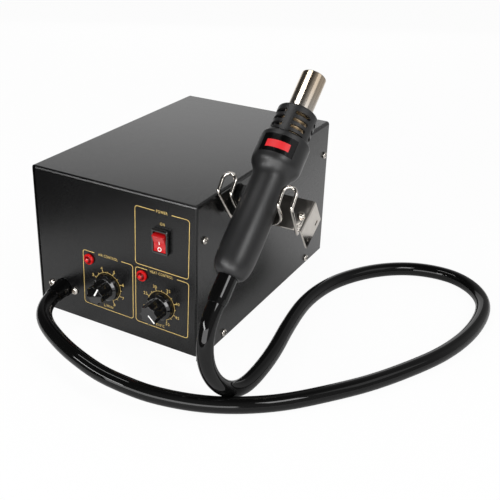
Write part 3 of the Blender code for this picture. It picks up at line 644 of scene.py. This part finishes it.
def words(bm, text, x, y, width, height):
    """Plain capitals or figures that fill a given width and height about a place on the panel."""
    letters = bpy.data.curves.new("letters", "FONT")
    letters.body = text
    letters.resolution_u = 3
    letters.space_character = LETTER_SPACE
    item = bpy.data.objects.new("letters", letters)
    bpy.context.scene.collection.objects.link(item)
    bpy.context.view_layer.update()
    typeset = item.evaluated_get(bpy.context.evaluated_depsgraph_get())
    flat = bpy.data.meshes.new_from_object(typeset)
    bpy.data.objects.remove(item, do_unlink=True)
    across = [vertex.co.x for vertex in flat.vertices]
    upward = [vertex.co.y for vertex in flat.vertices]
    wide, tall = max(across) - min(across), max(upward) - min(upward)
    to_middle = Matrix.Translation((-min(across) - wide / 2, -min(upward) - tall / 2, 0))
    to_size = Matrix.Diagonal((width * MM / wide, height * MM / tall, 1, 1))
    flat.transform(Matrix.Translation(mm(x, y, INK_STANDS)) @ to_size @ to_middle)
    bm.from_mesh(flat)


def arc(x, y, radius, start, end, steps):
    """Points on an arc between two clock angles."""
    turns = [start + (end - start) * k / steps for k in range(steps + 1)]
    return [(x + radius * math.sin(turn), y + radius * math.cos(turn)) for turn in turns]


def ruled_frame(bm, left, right, low, high, gap_start, gap_end):
    """A ruled frame with round corners, broken in its top line for a name. It leans a little."""
    r = FRAME_CORNER
    corners = ((right - r, high - r), (right - r, low + r), (left + r, low + r), (left + r, high - r))
    outline = [(gap_end, high)]
    for k, (x, y) in enumerate(corners):
        outline += arc(x, y, r, k * math.pi / 2, (k + 1) * math.pi / 2, 6)
    outline.append((gap_start, high))
    middle = Vector(((left + right) / 2, (low + high) / 2))
    lean = Matrix.Rotation(-PRINT_LEAN, 2)
    ribbon(bm, [tuple(middle + lean @ (Vector(point) - middle)) for point in outline], LINE)


def dial_scale(bm, knob, figures):
    """An arc round a knob with eight figured marks and a short mark between each pair."""
    middle = Vector(knob)
    ribbon(bm, arc(*knob, DIAL_RADIUS, DIAL_START, DIAL_START + DIAL_SWEEP, 60), DIAL_LINE)
    for k in range(2 * len(figures) - 1):
        turn = DIAL_START + DIAL_SWEEP * k / (2 * len(figures) - 2)
        reach = LONG_MARK if k % 2 == 0 else SHORT_MARK
        out = Vector((math.sin(turn), math.cos(turn)))
        mark = [tuple(middle + out * r) for r in (DIAL_RADIUS, DIAL_RADIUS + reach)]
        ribbon(bm, mark, MARK_LINE)
        if k % 2 == 0:
            figure = figures[k // 2]
            width = NARROW_FIGURE if figure == "1" else FIGURE_WIDTH * len(figure)
            words(bm, figure, *(middle + out * FIGURES_AT), width, FIGURE_HEIGHT)


print_lines = bmesh.new()
ruled_frame(print_lines, *POWER_FRAME, *POWER_GAP)
ruled_frame(print_lines, *HEAT_FRAME, *HEAT_GAP)
ruled_frame(print_lines, *AIR_FRAME, *AIR_GAP)
for text, x, y, width, height in PRINTED_WORDS:
    words(print_lines, text, x, y, width, height)
dial_scale(print_lines, AIR_KNOB, [str(k) for k in range(1, 9)])
dial_scale(print_lines, HEAT_KNOB, [str(5 * k) for k in range(3, 11)])
piece("panel_print", smooth_mesh(print_lines), ink, "root", place=FRONT)


# Rocker switch
# A snap-in switch: a black frame with a red rocker that is hollowed across the middle, with the on
# and off marks filled in white. The off end is pressed in.
def plate(outline, low, high, rounding):
    """A flat outline given thickness and rounded edges, in millimetres."""
    bm = bmesh.new()
    base = [bm.verts.new(mm(x, y, low)) for x, y in outline]
    face = bm.faces.new(base)
    raised = bmesh.ops.extrude_face_region(bm, geom=[face])
    upper = [part for part in raised["geom"] if isinstance(part, bmesh.types.BMVert)]
    bmesh.ops.translate(bm, vec=mm(0, 0, high - low), verts=upper)
    bm.normal_update()
    sharp = [edge for edge in bm.edges if edge.calc_face_angle(0) > math.radians(40)]
    bmesh.ops.bevel(
        bm, geom=sharp, offset=rounding * MM, segments=3, profile=0.5, affect="EDGES",
        clamp_overlap=True,
    )
    return smooth_mesh(bm, 40.0)


def moulded_gloss(place):
    cloud = place.noise(70.0, 3.0)
    return {
        "Base Color": cloud.mix((0.003, 0.003, 0.003, 1), (0.006, 0.006, 0.006, 1)),
        "Roughness": 0.05 + 0.06 * cloud,
    }


def red_plastic(place):
    cloud = place.noise(200.0, 2.0)
    return {
        "Base Color": cloud.mix((0.38, 0.004, 0.006, 1), (0.48, 0.008, 0.009, 1)),
        "Roughness": 0.18 + 0.12 * cloud,
    }


gloss_black = finish("moulded_gloss", {"Specular IOR Level": 0.8}, moulded_gloss)
red_rocker = finish("red_rocker", {"Coat Weight": 0.3, "Coat Roughness": 0.1}, red_plastic)
dress(gloss_black, "switch_body")
SWITCH = (48.5, 107.5)
ROCKER_TILT = math.radians(12.0)
ROCKER = FRONT @ Matrix.Translation(mm(*SWITCH, -0.5)) @ Matrix.Rotation(ROCKER_TILT, 4, "X")
ROCKER_HALF_WIDTH = 5.6
ROCKER_REACH = 7.2
ROCKER_MIDDLE = 4.5
ROCKER_HOLLOW = 1.6
ROCKER_STEPS = 14
ON_MARK_LOW = -1.0
ON_MARK_STEP = 0.2
ON_MARK_LINE = 0.75
OFF_MARK = 1.5
OFF_MARK_AT = -5.0
OFF_MARK_LINE = 0.6


def rocker_face(up):
    """How far the rocker's hollowed face stands out, by the height above its middle."""
    return ROCKER_MIDDLE + ROCKER_HOLLOW * abs(up / ROCKER_REACH) ** 1.8


heights = [ROCKER_REACH - 2 * ROCKER_REACH * k / ROCKER_STEPS for k in range(ROCKER_STEPS + 1)]
rocker_top = [(up, rocker_face(up)) for up in heights]
rocker_outline = [*rocker_top, (-7.9, 3.5), (-6.6, -3.0), (0.0, -4.6), (6.6, -3.0), (7.9, 3.5)]
lying = Matrix.Rotation(math.pi / 2, 4, "Z") @ Matrix.Rotation(math.pi / 2, 4, "X")
rocker_shape = plate(rocker_outline, -ROCKER_HALF_WIDTH, ROCKER_HALF_WIDTH, 0.25)
rocker = piece(
    "red_rocker", rocker_shape, red_rocker, "switch_rocker", "switch_rocker", place=ROCKER @ lying
)

marks = bmesh.new()
ribbon(marks, [(0, ON_MARK_STEP * k + ON_MARK_LOW) for k in range(15)], ON_MARK_LINE)
ribbon(marks, arc(0, OFF_MARK_AT, OFF_MARK, 0, 2 * math.pi, 24), OFF_MARK_LINE)
for vertex in marks.verts:
    vertex.co.z = (rocker_face(vertex.co.y / MM) + INK_STANDS) * MM
piece("rocker_marks", smooth_mesh(marks), white_ink, "switch_rocker", place=ROCKER)


# Indicator lamps
# Two red plastic lenses, each moulded in one piece with a ring and a domed middle and pressed into
# a hole in the panel.
AIR_LAMP = (-25.7, 71.1)
HEAT_LAMP = (28.7, 71.0)
LENS_RIM = 4.8
LENS_BARREL = 3.9
LENS_BACK = -14
# Where the painted highlight in the middle and the painted light near the rim fade, out from the axis.
PAINTED_HIGHLIGHT_EDGE = (0.4 * MM, 2.2 * MM)
PAINTED_RIM_LIGHT_EDGE = (3.0 * MM, 4.2 * MM)


# Painted light: the lens is bright red in its middle as a painted highlight and near its rim as painted
# light, with darker red between.
def red_lens(place):
    from_axis = (place.axis("X") ** 2 + place.axis("Y") ** 2) ** 0.5
    painted_highlight = 1 - from_axis.within(*PAINTED_HIGHLIGHT_EDGE)
    painted_rim_light = from_axis.within(*PAINTED_RIM_LIGHT_EDGE)
    painted_lens_light = painted_highlight + 0.6 * painted_rim_light
    return {
        "Base Color": painted_lens_light.mix((0.13, 0.0, 0.001, 1), (0.78, 0.010, 0.010, 1)),
        "Roughness": 0.03 + 0.04 * place.noise(300.0),
    }


lens_red = finish("red_lens", {"Specular IOR Level": 0.3}, red_lens)
lens_shape = lathe(
    eased((
        (0, 4.4, 0), (1.0, 4.3, 0.8), (2.3, 3.5, 1.0), (3.0, 2.3, 0.3), (3.9, 2.7, 0.5),
        (LENS_RIM, 1.8, 0.6), (LENS_RIM, GAP, 0.1), (LENS_BARREL, GAP, 0), (LENS_BARREL, LENS_BACK, 0),
        (0, LENS_BACK, 0),
    )),
    48,
)
for name, spot in (("air_lamp", AIR_LAMP), ("heat_lamp", HEAT_LAMP)):
    seat = FRONT @ Matrix.Translation(mm(*spot, 0))
    lamp = piece(f"{name}_lens", lens_shape, lens_red, "root", name, place=seat)


# Knobs
# Two gloss black knobs, each a cap with eight flutes on a coned skirt, with a white line on its face
# from the middle to one corner. They are pressed on brass shafts.
FLUTES = 8
FLUTE_DEPTH = 1.82
KNOB_CORNER = 8.7
KNOB_FACE = 18.8
SKIRT = 12.1
SKIRT_HOLLOW = 8.4
SHAFT_BORE = 3.2
BORE_TOP = 14.5
BORE_FOOT = 3.0
AIR_SETTING = math.radians(29.0)
HEAT_SETTING = math.radians(133.0)
POINTER_LINE = 1.3
POINTER_INSET = 0.5


def fluted_knob():
    """A knob about z, with its pointer towards +y."""
    skirt = lathe(
        eased((
            (0, 6.2, 0), (9.4, 6.2, 0.8), (11.6, 4.6, 0.9), (SKIRT, 2.0, 0.5), (SKIRT, 0.6, 0.2),
            (SKIRT_HOLLOW, 0.6, 0), (SKIRT_HOLLOW, 3.6, 0), (0, 3.6, 0),
        )),
        72,
    )
    lobes = []
    steps = 8 * FLUTES
    for k in range(steps):
        angle = 2 * math.pi * k / steps
        out = KNOB_CORNER - FLUTE_DEPTH * abs(math.sin(angle * FLUTES / 2))
        lobes.append((out * math.sin(angle), out * math.cos(angle)))
    cap = plate(lobes, 5.0, KNOB_FACE, 0.35)
    bore = lathe(((0, BORE_TOP), (SHAFT_BORE, BORE_TOP), (SHAFT_BORE, BORE_FOOT), (0, BORE_FOOT)), 32)
    return solid(solid(skirt, "UNION", cap), "DIFFERENCE", bore)


def pointer_line():
    """The white line from the middle of a knob's face to its corner."""
    bm = bmesh.new()
    ribbon(bm, [(0, 0.0), (0, KNOB_CORNER - POINTER_INSET)], POINTER_LINE, KNOB_FACE + INK_STANDS)
    return smooth_mesh(bm)


knob_shape = fluted_knob()
line_shape = pointer_line()
for name, spot, setting in (("air", AIR_KNOB, AIR_SETTING), ("heat", HEAT_KNOB, HEAT_SETTING)):
    axis = FRONT @ Matrix.Translation(mm(*spot, 0)) @ Matrix.Rotation(-setting, 4, "Z")
    body = f"{name}_knob"
    knob = piece(f"{name}_pointer_knob", knob_shape, gloss_black, body, body, place=axis)
    piece(f"{name}_pointer_line", line_shape, white_ink, body, place=axis)


def turned_brass(place):
    rings = place.stretched(1, 1, 60).noise(60.0)
    return {
        "Base Color": rings.mix((0.58, 0.40, 0.15, 1), (0.74, 0.54, 0.24, 1)),
        "Roughness": 0.22 + 0.15 * rings,
    }


brass = finish("brass", {"Metallic": 1.0}, turned_brass)
dress(brass, "air_shaft", "heat_shaft")
dress(nickel, "air_nut", "heat_nut")
dress(zinc, "heat_pot", "air_valve")


# Hose gland
# A moulded socket behind the panel takes the hose. Two screws hold it, and a rubber sleeve stiffens
# the hose where it comes out.
GLAND_SLEEVE = 8.2
GLAND_TAPER = 0.13
GLAND_EDGE = 0.3
GLAND_SCREWS = {"left": (-68.7, 35.7), "right": (-43.6, 34.8)}
dress(gloss_black, "hose_gland")
sleeve_route = whole_route[:GLAND_SLEEVE_LENGTH + 1]
sleeve_radii = []
for k in range(len(sleeve_route)):
    sleeve_radii.append(GLAND_SLEEVE * (1 - GLAND_TAPER * k / GLAND_SLEEVE_LENGTH))
sleeve_radii[-1] -= GLAND_EDGE
sleeve_shape = bar(sleeve_route, sleeve_radii, 40)
gland_sleeve = piece(
    "gland_sleeve_rubber", sleeve_shape, rubber_hose, "root", "gland_sleeve", place=Matrix.Identity(4)
)
gland_screw = cross_head(3.4, 2.2, 1.5, 7.0)
for side, spot in GLAND_SCREWS.items():
    seat = FRONT @ Matrix.Translation(mm(*spot, GAP)) @ Matrix.Rotation(0.5, 4, "Z")
    nickel_screw(f"gland_screw_{side}", gland_screw, seat)


# Cradle
# A bent nickel-plated bracket on the right side of the cabinet, black on the lip that is screwed to
# it and on the inner end of its shelf, and one bent wire that is clamped under the shelf and rises in
# two ears that hold the handset.
CRADLE_AT = (HALF_WIDTH, 40.0, 125.5)
CRADLE_RISE = math.radians(32.7)
CRADLE = STATION @ Matrix.Translation(mm(*CRADLE_AT)) @ Matrix.Rotation(CRADLE_RISE, 4, "X")
PLATE = 1.5
WIRE = 1.45
WIRE_MIDDLE = 35.2
WIRE_FRONT = -2.0
KINK_HEIGHT = 30.7
INNER_LEG = 19.9
OUTER_LEG = 31.1
OUTER_FOOT = 28.9
WIRE_SEAT = 1.4
EAR_LENGTH = 16.2
EAR_LEAN = math.radians(20.8)
EAR_BEND = 5.5
TAIL_INSET = 9.8
TAIL_BACK = 18.0
TAIL_DROP = 1.3
KINK_BEND = 3.0
TAIL_BEND = 2.6
LIP_BLACK_TO = 60.5 * MM
SHELF_BRIGHT_FROM = 62.5 * MM


def filleted(corners, steps=10):
    """A bent wire's middle line: straight runs between (point, bend radius) corners."""
    points = [corners[0][0]]
    for (before, _), (here, radius), (after, _) in zip(corners, corners[1:], corners[2:]):
        to_before, to_after = (before - here).normalized(), (after - here).normalized()
        opening = to_before.angle(to_after)
        bend = radius * MM
        reach = bend / math.tan(opening / 2)
        middle = here + (to_before + to_after).normalized() * (bend / math.sin(opening / 2))
        start, end = here + to_before * reach - middle, here + to_after * reach - middle
        turning = start.angle(end)
        hinge = start.cross(end).normalized()
        for k in range(steps + 1):
            points.append(middle + Matrix.Rotation(turning * k / steps, 3, hinge) @ start)
    points.append(corners[-1][0])
    return points


tail_z = -PLATE - GAP - TAIL_DROP
ear_y = WIRE_FRONT + EAR_LENGTH * math.cos(EAR_LEAN)
ear_z = KINK_HEIGHT + EAR_LENGTH * math.sin(EAR_LEAN)
right_half = (
    (INNER_LEG, WIRE_FRONT, WIRE_SEAT, INNER_LEG - 0.1),
    (INNER_LEG, WIRE_FRONT, KINK_HEIGHT, KINK_BEND),
    (INNER_LEG, ear_y, ear_z, EAR_BEND),
    (OUTER_LEG, ear_y, ear_z, EAR_BEND),
    (OUTER_LEG, WIRE_FRONT, KINK_HEIGHT, KINK_BEND),
    (OUTER_FOOT, WIRE_FRONT, tail_z, TAIL_BEND),
    (OUTER_FOOT - TAIL_INSET, TAIL_BACK, tail_z, 0),
)
wire_corners = [(mm(WIRE_MIDDLE - x, y, z), bend) for x, y, z, bend in reversed(right_half)]
wire_corners += [(mm(WIRE_MIDDLE + x, y, z), bend) for x, y, z, bend in right_half]
wire_line = filleted(wire_corners)
wire_shape = bar(wire_line, [WIRE] * len(wire_line), 16)
wire = piece("bent_wire", wire_shape, nickel, "root", "cradle_wire", place=CRADLE)


# Across x, the colour turns from near black, rough and not metallic on the lip and the inner end of the
# shelf to plain nickel on the rest.
def bracket_plate(place):
    metal = nickel_plate(place)
    nickel_share = place.axis("X").within(LIP_BLACK_TO, SHELF_BRIGHT_FROM)
    return {
        "Base Color": nickel_share.mix((0.003, 0.003, 0.003, 1), metal["Base Color"]),
        "Roughness": metal["Roughness"] + 0.3 * (1 - nickel_share),
        "Metallic": nickel_share,
    }


bracket_nickel = finish("bracket_nickel", {"Specular IOR Level": 0.3}, bracket_plate)
dress(bracket_nickel, "cradle_bracket")
dress(black_coat, "bracket_screw_front", "bracket_screw_rear")
dress(nickel, "cradle_clamp")
SHELF_SCREW_Y = 13.3
SHELF_SCREWS = {"inner": 8.4, "outer": 61.6}
shelf_screw = cross_head(3.2, 2.4, 1.5, 8.5)
for side, x in SHELF_SCREWS.items():
    seat = CRADLE @ Matrix.Translation(mm(x, SHELF_SCREW_Y, GAP)) @ Matrix.Rotation(0.7, 4, "Z")
    nickel_screw(f"shelf_screw_{side}", shelf_screw, seat)


# Handset
# Turned about one axis: a moulded grip that swells into a wide collar, with a rubber sleeve on its
# tail, a slotted guard round the heater and a stainless outlet tube. Heat has browned the tube inside
# the guard and left a straw tint towards its tip.
RISING = Matrix.Rotation(HANDSET_RISE - math.pi / 2, 4, "X")
AXIS = STATION @ Matrix.Translation(mm(*HANDSET_AT)) @ RISING
TIP = 121.4
TIP_EDGE = 0.8
TUBE = 10.4
TUBE_BORE = 9.6
GUARD = 16.6
GUARD_BORE = 14.6
GUARD_TOP = 86.0
GUARD_LID = 1.8
COLLAR = 20.2
COLLAR_TOP = 60.5
SLOT_ROWS = (78.6, 72.6, 66.6, 60.8)
SLOT_HEIGHT = 3.2
SLOT_GROUPS = 5
SLOT_SPAN = math.radians(48.0)
SLOT_MIDDLE = math.radians(-48.0)
RIM_LOW = 52
GRIP_BORE = 9.2
TAIL_HOLE = 8.1
SLEEVE = 7.75
SLEEVE_HEAD = 8.8
SLEEVE_BORE = 4.5
SLEEVE_TOP = -50
SLEEVE_END = -82.0
SEAT = 33.0
FLANGE_TOP = SEAT + 3.8
STRAW_RUN = (75.0 * MM, 118.0 * MM)
BROWN_EDGE = (84.6 * MM, 85.4 * MM)


def satin_moulding(place):
    cloud = place.noise(40.0, 3.0)
    grain = place.noise(1500.0, 2.0)
    return {
        "Base Color": cloud.mix((0.007, 0.007, 0.0073, 1), (0.011, 0.011, 0.0114, 1)),
        "Roughness": 0.32 + 0.08 * cloud + 0.06 * grain,
        "Normal": grain.bump(0.00003, 0.3),
    }


def tinted_steel(place):
    height = place.axis("Z")
    drawn = place.stretched(1, 1, 0.02).noise(900.0, 3.0)
    straw = height.within(*STRAW_RUN) * (0.7 + 0.3 * place.noise(60.0, 3.0))
    bare = height.within(*BROWN_EDGE)
    outside = straw.mix((0.60, 0.57, 0.53, 1), (0.52, 0.41, 0.29, 1))
    return {
        "Base Color": bare.mix((0.86, 0.62, 0.36, 1), outside),
        "Roughness": 0.17 + 0.03 * drawn + 0.15 * (1 - bare),
        "Metallic": 0.5 + 0.5 * bare,
    }


satin_black = finish("satin_moulding", {"Specular IOR Level": 0.5}, satin_moulding)
stainless = finish("tinted_stainless", {}, tinted_steel)

grip_curve = smooth_route(
    [Vector(point) for point in (
        (COLLAR, RIM_LOW), (COLLAR, 46), (COLLAR, 38.6), (19.8, 35.8), (18.8, 33.4), (17.2, 31),
        (15.8, 28.4), (14.9, 25.4), (14.6, 22), (14.6, 10), (15.1, -10), (15.4, -26), (15.3, -40),
        (14.9, -48), (14.1, -52.6), (12.5, -56.4), (10.4, -58.6), (8.8, -59.4),
    )],
    1.3,
)
grip_rim = eased((
    (GUARD + GAP, COLLAR_TOP, 0.3), (COLLAR, COLLAR_TOP, 2.4), (COLLAR, RIM_LOW, 0),
), 8)[:-1]
grip_bore = (
    (TAIL_HOLE, -59.5), (TAIL_HOLE, -54), (GRIP_BORE, -54), (GRIP_BORE, SEAT), (GUARD + GAP, SEAT),
)
grip_wall = [*grip_rim, *(tuple(point) for point in grip_curve), *grip_bore]
grip = piece("moulded_grip", lathe(grip_wall, 96), satin_black, "handset", "handset_grip", place=AXIS)
sleeve_wall = eased((
    (SLEEVE_HEAD, SLEEVE_TOP, 0), (SLEEVE_HEAD, -53.7, 0), (SLEEVE, -53.7, 0), (SLEEVE, -77.5, 3.0),
    (6.9, SLEEVE_END, 0.2), (SLEEVE_BORE, SLEEVE_END, 0), (SLEEVE_BORE, SLEEVE_TOP, 0),
))
tail_sleeve = piece(
    "tail_sleeve", lathe(sleeve_wall, 64), rubber_hose, "handset", "handset_sleeve", place=AXIS
)


def guard_slots():
    """Round-ended windows through the guard: rows along its axis, groups around it."""
    bm = bmesh.new()
    columns = 24
    inner, outer = GUARD_BORE - 3, GUARD + 4
    end = SLOT_HEIGHT / 2 / GUARD
    for group in range(SLOT_GROUPS):
        middle = SLOT_MIDDLE + 2 * math.pi * group / SLOT_GROUPS
        for row in SLOT_ROWS:
            frames = []
            for k in range(columns + 1):
                turn = SLOT_SPAN / 2 * -math.cos(math.pi * k / columns)
                past = max(abs(turn) - SLOT_SPAN / 2 + end, 0) / end
                half = SLOT_HEIGHT / 2 * max(math.sqrt(1 - past ** 2), 0.15)
                out = Vector((math.cos(middle + turn), math.sin(middle + turn), 0))
                corners = ((inner, -half), (outer, -half), (outer, half), (inner, half))
                frames.append([bm.verts.new(out * r * MM + mm(0, 0, row + up)) for r, up in corners])
            for before, after in zip(frames, frames[1:]):
                for k in range(4):
                    bm.faces.new((before[k], before[k - 1], after[k - 1], after[k]))
            bm.faces.new(frames[0])
            bm.faces.new(reversed(frames[-1]))
    return smooth_mesh(bm)


guard_wall = eased((
    (TUBE + GAP, GUARD_TOP, 0.3), (GUARD, GUARD_TOP, 1.6), (GUARD, FLANGE_TOP + GAP, 0),
    (GUARD_BORE, FLANGE_TOP + GAP, 0), (GUARD_BORE, GUARD_TOP - GUARD_LID, 0),
    (TUBE + GAP, GUARD_TOP - GUARD_LID, 0),
))
slotted_guard = solid(lathe(guard_wall, 96), "DIFFERENCE", guard_slots())
guard = piece("slotted_guard", slotted_guard, satin_black, "handset", "vent_guard", place=AXIS)
tube_wall = eased((
    (TUBE_BORE, TIP, 0.2), (TUBE, TIP, 0.3), (TUBE, TIP - TIP_EDGE, 0), (TUBE, FLANGE_TOP, 0),
    (TUBE_BORE, FLANGE_TOP, 0),
))
tube = piece("outlet_tube", lathe(tube_wall, 96), stainless, "handset", "heater_tube", place=AXIS)
flange_wall = (
    (TUBE_BORE, FLANGE_TOP), (GUARD, FLANGE_TOP), (GUARD, SEAT + GAP), (TUBE_BORE, SEAT + GAP),
)
piece("tube_flange", lathe(flange_wall, 64), stainless, "handset", place=AXIS)


def fired_ceramic(place):
    cloud = place.noise(90.0, 4.0)
    return {
        "Base Color": cloud.mix((0.62, 0.58, 0.50, 1), (0.78, 0.75, 0.68, 1)),
        "Roughness": 0.6 + 0.25 * cloud,
        "Normal": place.noise(600.0).bump(0.00005, 0.4),
    }


ceramic = finish("ceramic", {"Specular IOR Level": 0.4}, fired_ceramic)
dress(ceramic, "heater_core")


# Collar patch
# A thin black plastic foil that is stuck round the front of the collar, with one plain red bar
# printed on it.
PATCH_START = math.radians(-121.0)
PATCH_END = math.radians(-37.0)
PATCH_LOW = 39.5
PATCH_HIGH = 55.0
BAR_LOW = 43.0
BAR_HIGH = 49.5
BAR_INSET = math.radians(14.0)
PATCH_AT = COLLAR + 0.06
BAR_AT = COLLAR + 0.11


def wrapped(radius, start, end, low, high, steps=24):
    """A thin sheet round the handset's axis, between two angles and two heights."""
    bm = bmesh.new()
    edges = []
    for k in range(steps + 1):
        turn = start + (end - start) * k / steps
        out = (radius * math.cos(turn), radius * math.sin(turn))
        edges.append((bm.verts.new(mm(*out, low)), bm.verts.new(mm(*out, high))))
    for (a, b), (c, d) in zip(edges, edges[1:]):
        bm.faces.new((a, c, d, b))
    return smooth_mesh(bm)


def patch_foil(place):
    cloud = place.noise(150.0, 3.0)
    return {
        "Base Color": cloud.mix((0.001, 0.001, 0.001, 1), (0.002, 0.002, 0.002, 1)),
        "Roughness": 0.10 + 0.10 * cloud,
    }


def red_foil(place):
    cloud = place.noise(150.0, 3.0)
    return {
        "Base Color": cloud.mix((0.50, 0.010, 0.014, 1), (0.60, 0.016, 0.020, 1)),
        "Roughness": 0.32 + 0.15 * cloud,
    }


foil_black = finish("patch_foil", {"Specular IOR Level": 0.2}, patch_foil)
foil_red = finish("red_foil", {"Specular IOR Level": 0.4}, red_foil)
patch_shape = wrapped(PATCH_AT, PATCH_START, PATCH_END, PATCH_LOW, PATCH_HIGH)
piece("collar_patch", patch_shape, foil_black, "handset", place=AXIS)
bar_shape = wrapped(BAR_AT, PATCH_START + BAR_INSET, PATCH_END - BAR_INSET, BAR_LOW, BAR_HIGH)
piece("collar_patch_bar", bar_shape, foil_red, "handset", place=AXIS)


# Rear fittings
# A moulded mains inlet with three flat nickel-plated pins, and a screw-in fuse holder. Both are
# fixed in cut-outs of the rear panel.
dress(gloss_black, "mains_inlet", "fuse_holder")
DEPTH = 245
REAR = STATION @ Matrix.Translation(mm(0, DEPTH, 0)) @ Matrix.Rotation(math.pi, 4, "Z") @ FRONT_TURN
INLET = (45.0, 45.0)
PIN_LOW = (-1.1, -2.1, -20.0)
PIN_HIGH = (1.1, 2.1, -1.9)
PINS = {"live": (-7.0, -1.5), "earth": (0.0, 2.5), "neutral": (7.0, -1.5)}
for name, (x, y) in PINS.items():
    seat = REAR @ Matrix.Translation(mm(INLET[0] + x, INLET[1] + y, 0))
    piece(f"inlet_pin_{name}", block(PIN_LOW, PIN_HIGH), nickel, "root", place=seat)


# Works
# The pump, transformer and board that stand on the tray inside the cabinet, and their silicone
# tubes. They are seen only through the vents.
def laminated_steel(place):
    layers = place.stretched(1, 60, 1).noise(60.0)
    return {
        "Base Color": layers.mix((0.14, 0.14, 0.15, 1), (0.24, 0.24, 0.25, 1)),
        "Roughness": 0.4 + 0.2 * layers,
    }


def board_green(place):
    cloud = place.noise(400.0, 3.0)
    return {
        "Base Color": cloud.mix((0.012, 0.09, 0.035, 1), (0.02, 0.14, 0.06, 1)),
        "Roughness": 0.35 + 0.2 * cloud,
    }


def tube_silicone(place):
    cloud = place.noise(80.0, 2.0)
    return {
        "Base Color": cloud.mix((0.58, 0.59, 0.55, 1), (0.70, 0.71, 0.67, 1)),
        "Roughness": 0.25 + 0.15 * cloud,
    }


core_steel = finish("core_steel", {"Metallic": 1.0}, laminated_steel)
green_board = finish("green_board", {"Coat Weight": 0.3}, board_green)
silicone = finish("tube_silicone", {"Specular IOR Level": 0.5}, tube_silicone)
dress(zinc, "pump_body")
dress(core_steel, "pump_arm", "pump_coil", "transformer")
dress(soft_rubber, "pump_diaphragm")
dress(green_board, "control_board")
dress(silicone, "pump_tube", "valve_tube")
